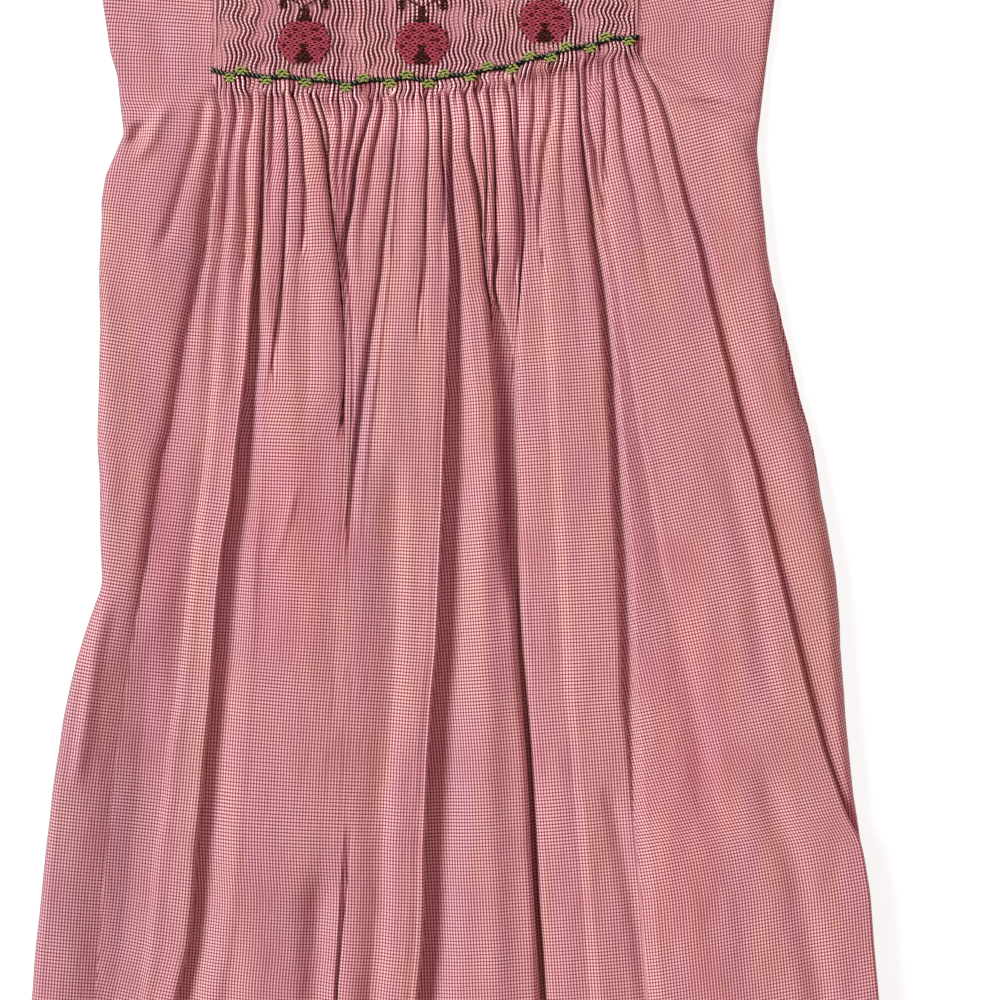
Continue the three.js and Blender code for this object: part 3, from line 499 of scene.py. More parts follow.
# the pleats: even at the smocking, and let go below it
uniform = INSET_L + (INSET_R - INSET_L) * np.clip((np.arange(n_cols) - first_inset) / inset_cols, 0, 1)
in_inset = (np.arange(n_cols) >= first_inset) & (np.arange(n_cols) <= last_inset)
phase = (np.arange(n_cols) - first_inset) / PER_PLEAT
pleat_no = np.clip(np.floor(phase).astype(int), 0, PLEATS + 1)
ph = phase - np.floor(phase)
swing = waves(14, 150, 170, 3)
uneven = waves(16, 26, 46, 5)
settle_len = rng.uniform(7, 27, PLEATS + 2)
Xu = uniform[None, :] - 0.03 * (INSET_R - INSET_L) / PLEATS * np.sin(2 * np.pi * ph)[None, :]
row_down = bend(uniform[None, :], V[:, None])
edge_fade = soft((uniform - INSET_L) / 14) * soft((INSET_R - uniform) / 14)
wave_x = 1.55 * np.sin(2 * np.pi * row_down / 27.0 + 0.9 * swing(uniform[None, :], row_down)) * edge_fade[None, :]
wave_x *= np.clip(0.9 + 0.35 * swing(uniform[None, :] + 300, row_down), 0.3, 1.3)
BUGS = [(304.0, 42.0), (422.0, 43.0), (545.0, 21.0)]
for bx, by in BUGS:
    near = np.exp(-(((uniform[None, :] - bx) / 30) ** 2) - ((row_down - by) / 26) ** 2)
    wave_x *= 1 - 0.85 * near
release = soft((V[:, None] - 86) / 13)
gathers = np.zeros((n_rows, n_cols))  # narrow folds between the main ones, that run out on their way down
r_g = np.random.default_rng(19)
row120 = int(np.argmin(np.abs(V - 120)))
for k in range(1, n_e):
    sel = np.where(~is_edge & (index == k - 1))[0]
    width = float(ends[row120, k] - starts[row120, k])
    count = int(round(width / 14.0))
    for j in range(1, count):
        at = (j + r_g.uniform(-0.16, 0.16)) / count
        long = r_g.uniform(60, 170)
        deep = r_g.uniform(2.2, 4.2)
        off = (frac[sel][None, :] - at) * (ends - starts)[:, [k]]
        spread = np.interp(V, (90, 140, 250, 400), (1.5, 2.6, 5.0, 9.0))[:, None]
        along = np.exp(-((np.clip(V - 100, 0, None) / long) ** 2))[:, None]
        gathers[:, sel] += deep * along * np.exp(-np.abs(off / spread) ** 1.5)
Xi = Xu + wave_x * (1 - soft((V[:, None] - 80) / 18))
pleat_shape = np.interp(ph, (0, 0.1, 0.2, 0.3, 0.4, 0.6, 0.7, 0.8, 0.9, 1), (0, 0.36, 0.82, 0.95, 1, 1, 0.95, 0.82, 0.36, 0))
depth_mod = np.clip(0.72 + 0.6 * uneven(uniform[None, :], row_down), 0.12, 1.35)
for bx, by in BUGS:
    near = np.exp(-(((uniform[None, :] - bx) / 27) ** 6) - ((row_down - by) / 24) ** 6)
    depth_mod = depth_mod * (1 - near) + 0.8 * near
depth_mod *= (0.25 + 0.75 * edge_fade)[None, :]
body = 3.0 + 0.9 * np.sqrt(np.clip(np.minimum(uniform - INSET_L, INSET_R - uniform) / 60, 0, 1))
body = body[None, :] * (1 - 0.5 * soft((-170 - V[:, None]) / 30))
Zi = body + 5.2 * (pleat_shape[None, :] - 0.84) * depth_mod * (1 - 0.7 * soft((-180 - V[:, None]) / 20))
keep = np.exp(-(((np.clip(V[:, None] - 90, 0, None)) / settle_len[pleat_no][None, :]) ** 2))
Z_fold = Z + 2.0 * (pleat_shape[None, :] - 0.8) * keep * release * in_inset[None, :] - gathers * np.clip(Z / 3.0, 0, 1)
mask = in_inset[None, :] * np.ones((n_rows, 1))
X = np.where(mask > 0, (1 - release) * Xi + release * X, X)
Z = np.where(mask > 0, (1 - release) * Zi + release * Z_fold, Z)

# beside the inset the side parts end at its straight sides
for lo, hi, edge in ((0, first_inset, xl), (last_inset + 1, n_cols, xr)):
    sel = np.arange(lo, hi)
    if lo == 0:
        f = (sel / (first_inset - 1))[None, :]
        x_side = xl[:, None] + (INSET_L - 0.05 - xl[:, None]) * f
    else:
        f = ((sel - last_inset - 1) / (n_cols - 2 - last_inset))[None, :]
        x_side = INSET_R + 0.05 + (xr[:, None] - INSET_R - 0.05) * f
    dist = np.abs(x_side - edge[:, None])
    z_side = crest_at(V)[:, None] * 0.85 + 1.0 * soft((V[:, None] + 200) / 160)
    beside = soft(1 - np.abs(x_side - (INSET_L if lo == 0 else INSET_R)) / 12)
    z_side = z_side * (1 - beside) + 2.85 * beside
    z_side = z_side * np.sqrt(np.clip(1 - np.clip(1 - dist / 10, 0, 1) ** 2, 0, 1)) ** 0.8
    blend = soft((V[:, None] - 60) / 50)
    X[:, sel] = (1 - blend) * x_side + blend * X[:, sel]
    Z[:, sel] = (1 - blend) * z_side + blend * Z[:, sel]

D = bend(X, V[:, None])

# troughs, ridges and a slight unevenness
lumpy, fine_lumps = waves(24, 60, 170, 11), waves(26, 16, 34, 12)
edge_l, edge_r = np.abs(X - xl[:, None]), np.abs(xr[:, None] - X)
calm = np.clip(np.minimum(edge_l, edge_r) / 14, 0, 1) * np.where(mask > 0, soft((V[:, None] - 100) / 60), 1)
for s in SOFT:
    p = np.array(s["path"], float)
    centre = np.interp(D, FINE, smooth(np.interp(FINE, p[:, 0], p[:, 1]), 4.0))
    fade = soft((D - p[0, 0]) / s["fade"]) * soft((p[-1, 0] - D) / s["fade"]) if p[-1, 0] < HEM else soft((D - p[0, 0]) / s["fade"])
    off = X - centre
    shape = np.exp(-((off / np.where(off < 0, s["left"], s["right"])) ** 2))
    Z -= 1.35 * s["depth"] * shape * fade * np.clip(Z / 2.0, 0, 1) * np.clip(np.minimum(edge_l, edge_r) / 8, 0, 1)
Z += calm * (0.2 * lumpy(X, D) + 0.05 * fine_lumps(X, D)) * np.clip(Z / 5, 0, 1)
Z = np.maximum(Z, 0.0)

# cloth coordinates: on every stretch the weave runs along its shown edge, square to it
P = to_frame(X, D, REST * 1e3 + Z)
across_step = np.hypot(np.diff(X, axis=1), 0.6 * np.diff(Z, axis=1) / (GRID * 1e3))
Uc, Vc = np.zeros((n_rows, n_cols)), np.zeros((n_rows, n_cols))
row112 = int(np.argmin(np.abs(V - 112)))
turned = [None] * (n_e + 1)


def measure(k, where, virtual=None):
    """Arc length and drop along a stretch, with the direction and length of the line it is laid out from."""
    a = 0 if k == 0 else col_r[k - 1]
    b = n_cols - 1 if k == n_e else col_l[k]
    s = np.concatenate([np.zeros((n_rows, 1)), np.cumsum(across_step[:, a:b], 1)], 1)
    q = D[:, a : b + 1] - D[:, [a]]
    line = X[:, a] + where * (X[:, b] - X[:, a]) if virtual is None else virtual
    down = D[:, a] + where * (D[:, b] - D[:, a])
    slope = np.gradient(line, down)
    slope = np.interp(down, FINE, smooth(np.interp(FINE, down, slope), 55.0))
    length = np.concatenate([[0], np.cumsum(np.hypot(np.diff(line), np.diff(down)))])
    return a, b, s, q, np.arctan(slope), length


def lay(k, a, b, s, q, angle, where, r, t, offset=0.0):
    ds, dq = s - where * s[:, [-1]] + np.reshape(offset, (-1, 1)), q - where * q[:, [-1]]
    c, sn = np.cos(angle)[:, None], np.sin(angle)[:, None]
    Uc[:, a : b + 1] = np.reshape(r, (-1, 1)) + ds * c - dq * sn
    Vc[:, a : b + 1] = np.reshape(t, (-1, 1)) + ds * sn + dq * c


for k in range(n_e - 1, 0, -1):
    low_left, low_right = EDGES[k - 1]["side"] == "L", EDGES[k]["side"] == "R"
    where = 0.5 if low_left == low_right else (1.0 if low_left else 0.0)
    a, b, s, q, angle, length = measure(k, where)
    if k in anchors:
        if k == n_e - 1:
            angle = np.where(V < 560, angle, np.interp(V, (560, 1090), (np.interp(560, V, angle), math.radians(9))))
        lay(k, a, b, s, q, angle, where, 0.0 * V, length)
        turned[k] = angle
        level = angle
        continue
    w = np.interp(V, FINE, smooth(np.interp(FINE, V[row112:], shut[row112:, k]), 30.0))
    angle = level + 0.3 * w * (angle - level)
    turned[k] = angle
    gap_s = np.maximum(X[:, col_r[k]] - X[:, col_l[k]], 0)
    gap_q = D[:, col_r[k]] - D[:, col_l[k]]
    c, sn = np.cos(angle), np.sin(angle)
    lay(k, a, b, s, q, angle, 1.0, Uc[:, col_r[k]] - (gap_s * c - gap_q * sn), Vc[:, col_r[k]] - (gap_s * sn + gap_q * c))

# the side parts: their weave leans outwards from the armhole down
v2_line = np.where(V > 90, X[:, col_l[0]], X[np.argmin(np.abs(V - 90)), col_l[0]] + (90 - V) * math.tan(math.radians(5)))
a, b, s, q, angle, length = measure(0, 1.0, v2_line)
lay(0, a, b, s, q, angle, 1.0, 0.0 * V, length, X[:, b] - v2_line)
row60 = int(np.argmin(np.abs(V - 60)))
v21_line = np.where(V > 60, X[:, col_r[-1]], X[row60, col_r[-1]] - (60 - V) * math.tan(math.radians(10)))
a, b, s, q, angle, length = measure(n_e, 0.0, v21_line)
lay(n_e, a, b, s, q, angle, 0.0, 0.0 * V, length, X[:, a] - v21_line)
# inside the folds and through the smocking
for i in range(n_e):
    g = np.linspace(0, 1, col_r[i] - col_l[i] + 1)[None, :]
    a, b = col_l[i], col_r[i]
    Uc[:, a : b + 1] = Uc[:, [a]] * (1 - g) + Uc[:, [b]] * g
    Vc[:, a : b + 1] = Vc[:, [a]] * (1 - g) + Vc[:, [b]] * g
down_step = np.linalg.norm(np.diff(P, axis=0), axis=2) / GRID
tail = slice(first_inset, last_inset + 1)
tail_no, tail_ph = pleat_no[tail], ph[tail]
pleat_mid = np.interp(tail_no + 0.5, phase[tail], Uc[row112, tail])
even = (np.round(pleat_mid / CHECK_U) + 0.5 + 3.0 * (tail_ph - 0.5)) * CHECK_U  # the pleats are picked up along the check
b = soft((V[:row112, None] - 66) / 12)
Uc[:row112, tail] = Uc[[row112], tail] * b + even[None, :] * (1 - b)
Vc[:row112, tail] = Vc[[row112], tail] - np.cumsum(down_step[:row112, tail][::-1], 0)[::-1]

# how the cotton's colour varies: long faint streaks and patches; over them painted light and shade: lighter and darker
# patches over the folds, painted shade along the outlines, painted highlights on the smocking's pleat tops and painted
# shade in its gaps, in the narrow folds below it and beside the long right-hand fold
# painted light and shade: soft patches that darken or lighten the cloth over the folds, some with a mauve or tan cast,
# where the folds turn away from the light or towards it
PAINTED_LIGHT_AND_SHADE = [  # across, down, half as wide, half as tall, then how much red, green and blue are kept
    dict(across=130, down=840, wide=26, tall=240, keep=(0.78, 0.78, 0.83)),
    dict(across=72, down=880, wide=34, tall=230, keep=(0.88, 0.94, 1.02)),
    dict(across=166, down=560, wide=20, tall=160, keep=(0.82, 0.66, 0.78)),
    dict(across=190, down=800, wide=13, tall=240, keep=(0.93, 1.02, 0.98)),
    dict(across=364, down=470, wide=17, tall=170, keep=(0.90, 0.93, 1.00)),
    dict(across=402, down=420, wide=15, tall=320, keep=(0.97, 1.00, 0.95)),
    dict(across=300, down=540, wide=52, tall=120, keep=(1.00, 0.90, 0.94)),
    dict(across=262, down=640, wide=24, tall=240, keep=(0.88, 0.82, 0.88)),
    dict(across=690, down=770, wide=44, tall=170, keep=(1.08, 0.98, 0.99)),
    dict(across=116, down=340, wide=16, tall=200, keep=(0.94, 0.96, 0.98)),
    dict(across=290, down=900, wide=60, tall=110, keep=(0.92, 0.91, 0.95)),
    dict(across=470, down=820, wide=40, tall=170, keep=(0.93, 0.93, 0.96)),
    dict(across=812, down=640, wide=24, tall=190, keep=(0.98, 1.03, 0.90)),
    dict(across=146, down=740, wide=22, tall=120, keep=(0.93, 0.88, 0.92)),
    dict(across=750, down=290, wide=26, tall=110, keep=(1.05, 1.08, 1.04)),
    dict(across=160, down=50, wide=52, tall=80, keep=(0.98, 1.00, 1.07)),
    dict(across=188, down=250, wide=24, tall=110, keep=(0.84, 0.78, 0.83)),
    dict(across=425, down=114, wide=190, tall=32, keep=(1.20, 1.28, 1.28)),
    dict(across=506, down=470, wide=9, tall=110, keep=(0.72, 0.55, 0.62)),
    dict(across=640, down=480, wide=18, tall=150, keep=(0.93, 0.86, 0.95)),
]
T = np.ones((n_rows, n_cols, 3))
streak, patchy = waves(18, 34, 330, 31), waves(14, 90, 150, 37)
hue = np.clip(0.6 * streak(X, D) + 0.5 * patchy(X, D), -1.4, 1.4)[..., None]
T *= 1 + hue * np.array([0.015, 0.022, -0.03])
for painted_patch in PAINTED_LIGHT_AND_SHADE:
    near = np.exp(-(((X - painted_patch["across"]) / painted_patch["wide"]) ** 2) - ((D - painted_patch["down"]) / painted_patch["tall"]) ** 2)[..., None]
    T *= 1 + near * (np.array(painted_patch["keep"]) - 1)
# painted shade along the left and right outlines, where the cloth rolls down to the back
T *= 1 - 0.3 * np.exp(-np.abs(X - xl[:, None]) / 4)[..., None] - 0.14 * np.exp(-np.abs(xr[:, None] - X) / 4)[..., None]
# painted highlight on the smocked pleats' tops, strongest on their left flanks that face the light, and painted shade
# in the gaps between them
rise = 5.2 * (pleat_shape[None, :] - 0.84) * depth_mod * (1 - release) * mask
pleat_top_highlight = (np.clip(rise / 0.6, 0, 1) * np.interp(ph, (0.2, 0.3, 0.45, 0.7), (1.0, 1.0, 0.6, 0.4))[None, :])[..., None]
pleat_gap_shade = np.clip(-rise / 2.6, 0, 1)[..., None] ** 0.7
T = T * (1 + pleat_top_highlight * np.array([0.58, 0.88, 0.82])) * (1 - pleat_gap_shade * np.array([0.76, 0.93, 0.89]))
# painted shade in the narrow folds below the smocking; the inset's cloth is also lightened slightly just below the
# border
gather_shade = (np.clip(gathers / 3.4, 0, 1) * release * mask)[..., None]
T = T * (1 - gather_shade * np.array([0.30, 0.52, 0.46])) * (1 + 0.05 * (1 - gather_shade) * (np.exp(-(((D - 130) / 45) ** 2)) * mask)[..., None])
past = X - EDGES[-1]["lip_at"](D)  # the cloth just right of the long right-hand fold is darker: painted shade beside its lip
T = T * (1 - (np.where(past > -1, np.exp(-np.clip(past, 0, None) / 9), 0) * soft((D - 120) / 60))[..., None] * np.array([0.12, 0.30, 0.26]))
T_wide = np.pad(T, ((2, 3), (2, 2), (0, 0)), mode="edge")

# the hem turns under at the end
hem_p = P[-1]
turn = [hem_p + np.array([0, -0.0006, -0.0005]), hem_p + np.array([0, -0.0004, -0.0012]), hem_p + np.array([0, 0.0105, -0.0016])]
P = np.concatenate([P, np.stack(turn)], 0)
Uc = np.concatenate([Uc, np.repeat(Uc[-1:], 3, 0)], 0)
Vc = np.concatenate([Vc, Vc[-1:] + 2, Vc[-1:] + 4, Vc[-1:] + 28], 0)

# which squares of the grid are cloth: not the neck, nor past the armholes
cell = np.ones((len(P) - 1, n_cols - 1), bool)
cols_mid = np.arange(n_cols - 1)
inset_cell = (cols_mid >= first_inset) & (cols_mid < last_inset)
def strap_inner(side, down, neck):
    turn_by = np.clip((neck - down) / NECK_CORNER, 0, 1)
    reach = NECK_CORNER * (1 - np.sqrt(1 - (1 - turn_by) ** 2))
    return INSET_L + reach if side == "L" else INSET_R - reach


mid_x = 0.25 * (X[:-1, :-1] + X[1:, :-1] + X[:-1, 1:] + X[1:, 1:])
mid_d = 0.5 * (D[:-1, :-1] + D[1:, :-1])
open_neck = (mid_d < NECK - 2) & (mid_x > strap_inner("L", mid_d, NECK) + 3) & (mid_x < strap_inner("R", mid_d, NECK) - 3)
cell[: n_rows - 1][open_neck & inset_cell[None, :]] = False

# the side and shoulder edges turn down to the back
def turned_down(edge, out):
    low = edge.copy()
    low[..., 2] = np.minimum(edge[..., 2], 0.4e-3)
    near = edge + np.array([*out, -0.0006])
    near[..., 2] = np.maximum(near[..., 2], 0.5e-3)
    return near, low + 0.4 * np.array([*out, 0])


near, low = turned_down(P[:, 0], (-0.0003, 0))
near_r, low_r_ = turned_down(P[:, -1], (0.0003, 0))
P = np.concatenate([low[:, None], near[:, None], P, near_r[:, None], low_r_[:, None]], 1)
Uc = np.concatenate([Uc[:, :1] - 5, Uc[:, :1] - 1.5, Uc, Uc[:, -1:] + 1.5, Uc[:, -1:] + 5], 1)
Vc = np.concatenate([Vc[:, :1], Vc[:, :1], Vc, Vc[:, -1:], Vc[:, -1:]], 1)
near, low = turned_down(P[0], (0, 0.0003))
P = np.concatenate([low[None], near[None], P], 0)
Uc = np.concatenate([Uc[:1], Uc[:1], Uc], 0)
Vc = np.concatenate([Vc[:1] - 5, Vc[:1] - 1.5, Vc], 0)
cell = np.pad(cell, ((2, 0), (2, 2)), mode="edge")


def material_none(obj):
    obj.data.materials.clear()


def make_mesh(name, points, faces, uvs=None, smooth_shade=True, tones_and_painted_light=None):
    mesh = bpy.data.meshes.new(name)
    mesh.vertices.add(len(points))
    mesh.vertices.foreach_set("co", np.ascontiguousarray(points, np.float32).ravel())
    faces = np.asarray(faces, np.int32)
    mesh.loops.add(faces.size)
    mesh.loops.foreach_set("vertex_index", faces.ravel())
    mesh.polygons.add(len(faces))
    mesh.polygons.foreach_set("loop_start", np.arange(0, faces.size, faces.shape[1], dtype=np.int32))
    mesh.polygons.foreach_set("loop_total", np.full(len(faces), faces.shape[1], np.int32))
    if uvs is not None:
        layer = mesh.uv_layers.new(name="cloth")
        layer.data.foreach_set("uv", np.ascontiguousarray(uvs[faces.ravel()], np.float32).ravel())
        # per-vertex colour multiplier: random hue variation plus painted light and shade
        tone_and_painted_light = mesh.attributes.new("tone_and_painted_light", "FLOAT_VECTOR", "POINT")
        tone_and_painted_light.data.foreach_set("vector", np.ascontiguousarray(np.ones((len(points), 3)) if tones_and_painted_light is None else tones_and_painted_light, np.float32).ravel())
    mesh.update(calc_edges=True)
    mesh.validate()
    if smooth_shade:
        mesh.polygons.foreach_set("use_smooth", np.ones(len(mesh.polygons), bool))
    obj = bpy.data.objects.new(name, mesh)
    bpy.context.scene.collection.objects.link(obj)
    return obj


def grid_piece(name, col_from, col_to, rows_wanted):
    """The part of the front's grid between two columns, as one piece."""
    rows, cols = len(P), col_to - col_from + 1
    pts = P[:, col_from : col_to + 1].reshape(-1, 3)
    uv = np.stack([Uc[:, col_from : col_to + 1] / CHECK_U, -Vc[:, col_from : col_to + 1] / CHECK_V], -1).reshape(-1, 2)
    i, j = np.nonzero(cell[:, col_from:col_to] & rows_wanted[:, None])
    a = i * cols + j
    quads = np.stack([a, a + cols, a + cols + 1, a + 1], 1)
    used = np.unique(quads)
    remap = np.full(len(pts), -1)
    remap[used] = np.arange(len(used))
    tones_and_painted_light = T_wide[:, col_from : col_to + 1].reshape(-1, 3)
    return make_mesh(name, pts[used], remap[quads], uv[used], tones_and_painted_light=tones_and_painted_light[used])


def edge_column(name):
    i = [e["name"] for e in EDGES].index(name)
    return (col_l[i] + col_r[i]) // 2 + 2


# ------------------------------------------------------------------ materials
def new_material(name):
    m = bpy.data.materials.new(name)
    m.use_nodes = True
    return m, m.node_tree, m.node_tree.nodes["Principled BSDF"]


def math_node(nt, op, a, b=None, c=None):
    n = nt.nodes.new("ShaderNodeMath")
    n.operation = op
    for k, v in enumerate((a, b, c)):
        if v is None:
            continue
        if isinstance(v, (int, float)):
            n.inputs[k].default_value = v
        else:
            nt.links.new(v, n.inputs[k])
    return n.outputs[0]


def srgb(r, g, b, k=1.0):
    f = lambda c: ((c / 255 + 0.055) / 1.055) ** 2.4 if c > 10 else c / 255 / 12.92
    return (f(r) * k, f(g) * k, f(b) * k, 1)


def check_material(name, light, middle, dark, turn=0.0):
    """Woven micro check: light and rose threads crossing, darkest where rose crosses rose."""
    m, nt, bsdf = new_material(name)
    uv = nt.nodes.new("ShaderNodeUVMap")
    uv.uv_map = "cloth"
    mapping = nt.nodes.new("ShaderNodeMapping")
    mapping.inputs["Rotation"].default_value = (0, 0, turn)
    nt.links.new(uv.outputs[0], mapping.inputs[0])
    xyz = nt.nodes.new("ShaderNodeSeparateXYZ")
    nt.links.new(mapping.outputs[0], xyz.inputs[0])
    drift = nt.nodes.new("ShaderNodeTexNoise")  # the warp shows more in some places, the weft in others
    drift.noise_dimensions = "2D"
    drift.inputs["Scale"].default_value = 0.045
    drift.inputs["Detail"].default_value = 1.0
    nt.links.new(mapping.outputs[0], drift.inputs["Vector"])
    bands = []
    for axis, width, swing_by in ((0, -0.8, 1.5), (1, -1.35, -1.3)):
        f = math_node(nt, "FRACT", xyz.outputs[axis])
        tri = math_node(nt, "ABSOLUTE", math_node(nt, "SUBTRACT", f, 0.5))  # 0.5 at a repeat's ends, 0 in its middle
        edge = math_node(nt, "MULTIPLY_ADD", drift.outputs["Fac"], swing_by, width - swing_by / 2)
        up = math_node(nt, "ADD", math_node(nt, "MULTIPLY", tri, 5.0), edge)
        up.node.use_clamp = True
        bands.append(up)
    cells = nt.nodes.new("ShaderNodeVectorMath")
    cells.operation = "FLOOR"
    shifted = nt.nodes.new("ShaderNodeVectorMath")
    shifted.operation = "ADD"
    shifted.inputs[1].default_value = (0.5, 0.5, 0)
    nt.links.new(mapping.outputs[0], shifted.inputs[0])
    nt.links.new(shifted.outputs[0], cells.inputs[0])
    noise = nt.nodes.new("ShaderNodeTexWhiteNoise")
    noise.noise_dimensions = "2D"
    nt.links.new(cells.outputs[0], noise.inputs["Vector"])
    total = math_node(nt, "ADD", bands[0], bands[1])
    one = math_node(nt, "MINIMUM", total, 1.0)
    both = math_node(nt, "MULTIPLY", bands[0], bands[1])
    vary = math_node(nt, "MULTIPLY_ADD", noise.outputs["Value"], 0.5, 0.55)
    both = math_node(nt, "MULTIPLY", both, vary)
    mix1 = nt.nodes.new("ShaderNodeMix")
    mix1.data_type = "RGBA"
    mix1.inputs["A"].default_value, mix1.inputs["B"].default_value = light, middle
    mix1.inputs[6].default_value, mix1.inputs[7].default_value = light, middle
    nt.links.new(one, mix1.inputs[0])
    mix2 = nt.nodes.new("ShaderNodeMix")
    mix2.data_type = "RGBA"
    mix2.inputs[7].default_value = dark
    nt.links.new(both, mix2.inputs[0])
    nt.links.new(mix1.outputs[2], mix2.inputs[6])
    # multiplies the weave's colour by the per-vertex random hue and painted light and shade
    tone_and_painted_light = nt.nodes.new("ShaderNodeAttribute")
    tone_and_painted_light.attribute_name = "tone_and_painted_light"
    tinted = nt.nodes.new("ShaderNodeVectorMath")
    tinted.operation = "MULTIPLY"
    nt.links.new(mix2.outputs[2], tinted.inputs[0])
    nt.links.new(tone_and_painted_light.outputs["Vector"], tinted.inputs[1])
    nt.links.new(tinted.outputs[0], bsdf.inputs["Base Color"])
    bsdf.inputs["Roughness"].default_value = 0.9
    bsdf.inputs["Specular IOR Level"].default_value = 0.05
    bsdf.inputs["Sheen Weight"].default_value = 0.06
    bsdf.inputs["Sheen Roughness"].default_value = 0.5
    return m


LIGHT, MIDDLE, DARK = srgb(219, 180, 184), srgb(149, 86, 99), srgb(35, 3, 10)
check = check_material("check_cotton", LIGHT, MIDDLE, DARK)
check_bias = check_material("check_cotton_bias", LIGHT, MIDDLE, DARK, math.radians(45))


def thread_material(name, colour):
    m, nt, bsdf = new_material(name)
    bsdf.inputs["Base Color"].default_value = colour
    bsdf.inputs["Roughness"].default_value = 0.7
    bsdf.inputs["Specular IOR Level"].default_value = 0.08
    return m


rose = thread_material("rose_thread", srgb(164, 72, 90))
rose_dark = thread_material("dark_rose_thread", srgb(104, 26, 40))
brown = thread_material("brown_thread", srgb(62, 30, 24))
leaf = thread_material("leaf_thread", srgb(142, 160, 90))
stem = thread_material("stem_thread", srgb(16, 26, 20))
# painted shade: dark stitches laid under the motifs, border and leaves, where only the shade between the threads is
shade = thread_material("shade_under_stitches", srgb(58, 8, 16))
pink_thread = thread_material("sewing_thread", srgb(214, 140, 150))

# ------------------------------------------------------------------ the front, in four pieces that meet in deep folds
cuts = [0, edge_column("v4"), edge_column("v12"), edge_column("v19"), n_cols + 3]
names = ["front_left", "front_middle_left", "front_middle_right", "front_right"]
above_border = np.arange(len(cell)) < 2 + int(np.argmin(np.abs(V - 74)))  # a join that the border's stitches cover
front = []
for name, a, b in zip(names, cuts[:-1], cuts[1:]):
    parts = [(name, np.ones(len(cell), bool))]
    if name == "front_middle_left":
        parts = [(name + "_top", above_border), (name, ~above_border)]
    for part, rows_wanted in parts:
        o = grid_piece(part, a, b, rows_wanted)
        o.data.materials.append(check)
        front.append(o)

# ------------------------------------------------------------------ the back, flat on the surface
def slab(name, down_rows, left_of, right_of, cols, z_low, z_high, keep_cell=None):
    """The across and down grid of a flat piece, between its left and right outlines."""
    rows = np.asarray(down_rows, float)
    f = np.linspace(0, 1, cols)
    lx, rx = left_of(rows), right_of(rows)
    x = lx[:, None] + (rx - lx)[:, None] * f[None, :]
    y = np.repeat(rows[:, None], cols, 1)
    return x, y


back_rows = np.concatenate([np.arange(SHOULDER, -290, 2.5), np.arange(-290, 300, 9.0), np.arange(300, 480, 6.0), np.arange(480, HEM, 10.0), [HEM]])
back_peek = Curve([(-355, 0), (280, 0), (300, 4), (350, 5.5), (400, 5.5), (430, 3.5), (470, 2), (520, 1), (560, 0), (1090, 0)], 8)
bx_l, bx_r = left_edge(back_rows), right_edge(back_rows) + back_peek(back_rows)
BC = 170
fb = np.linspace(0, 1, BC)
bx = bx_l[:, None] + (bx_r - bx_l)[:, None] * fb[None, :]
by = np.repeat(back_rows[:, None], BC, 1)


back_wave = waves(20, 70, 200, 21)
edge_d = np.minimum(bx - bx_l[:, None], bx_r[:, None] - bx)
bz_top = 1.15 + 0.12 * back_wave(bx, by) * np.clip(edge_d / 20, 0, 1)
top_pts = to_frame(bx, by, bz_top)
low_pts = to_frame(bx, by, np.full_like(bx, 0.05))
ub = np.stack([(bx - MID_ACROSS) / CHECK_U, -by / CHECK_V], -1)
cell_b = np.ones((len(back_rows) - 1, BC - 1), bool)
mid_x, mid_y = 0.25 * (bx[:-1, :-1] + bx[1:, :-1] + bx[:-1, 1:] + bx[1:, 1:]), 0.5 * (by[:-1, :-1] + by[1:, :-1])
cell_b[(mid_y < NECK_BACK - 1) & (mid_x > strap_inner("L", mid_y, NECK_BACK) + 3) & (mid_x < strap_inner("R", mid_y, NECK_BACK) - 3)] = False
i, j = np.nonzero(cell_b)
a = i * BC + j
n_back = len(back_rows) * BC
top_q = np.stack([a, a + BC, a + BC + 1, a + 1], 1)
low_q = top_q[:, ::-1] + n_back
edges_seen = {}
for q in top_q:
    for s, t in zip(q, np.roll(q, -1)):
        edges_seen[(s, t)] = True
rim = [(s, s + n_back, t + n_back, t) for (s, t) in edges_seen if (t, s) not in edges_seen]
quads = np.concatenate([top_q, low_q, np.array(rim, int)])
pts = np.concatenate([top_pts.reshape(-1, 3), low_pts.reshape(-1, 3)])
uvs = np.concatenate([ub.reshape(-1, 2), ub.reshape(-1, 2)])
used = np.unique(quads)
remap = np.full(len(pts), -1)
remap[used] = np.arange(len(used))
back = make_mesh("back_cloth", pts[used], remap[quads], uvs[used], smooth_shade=False)
back.data.materials.append(check)


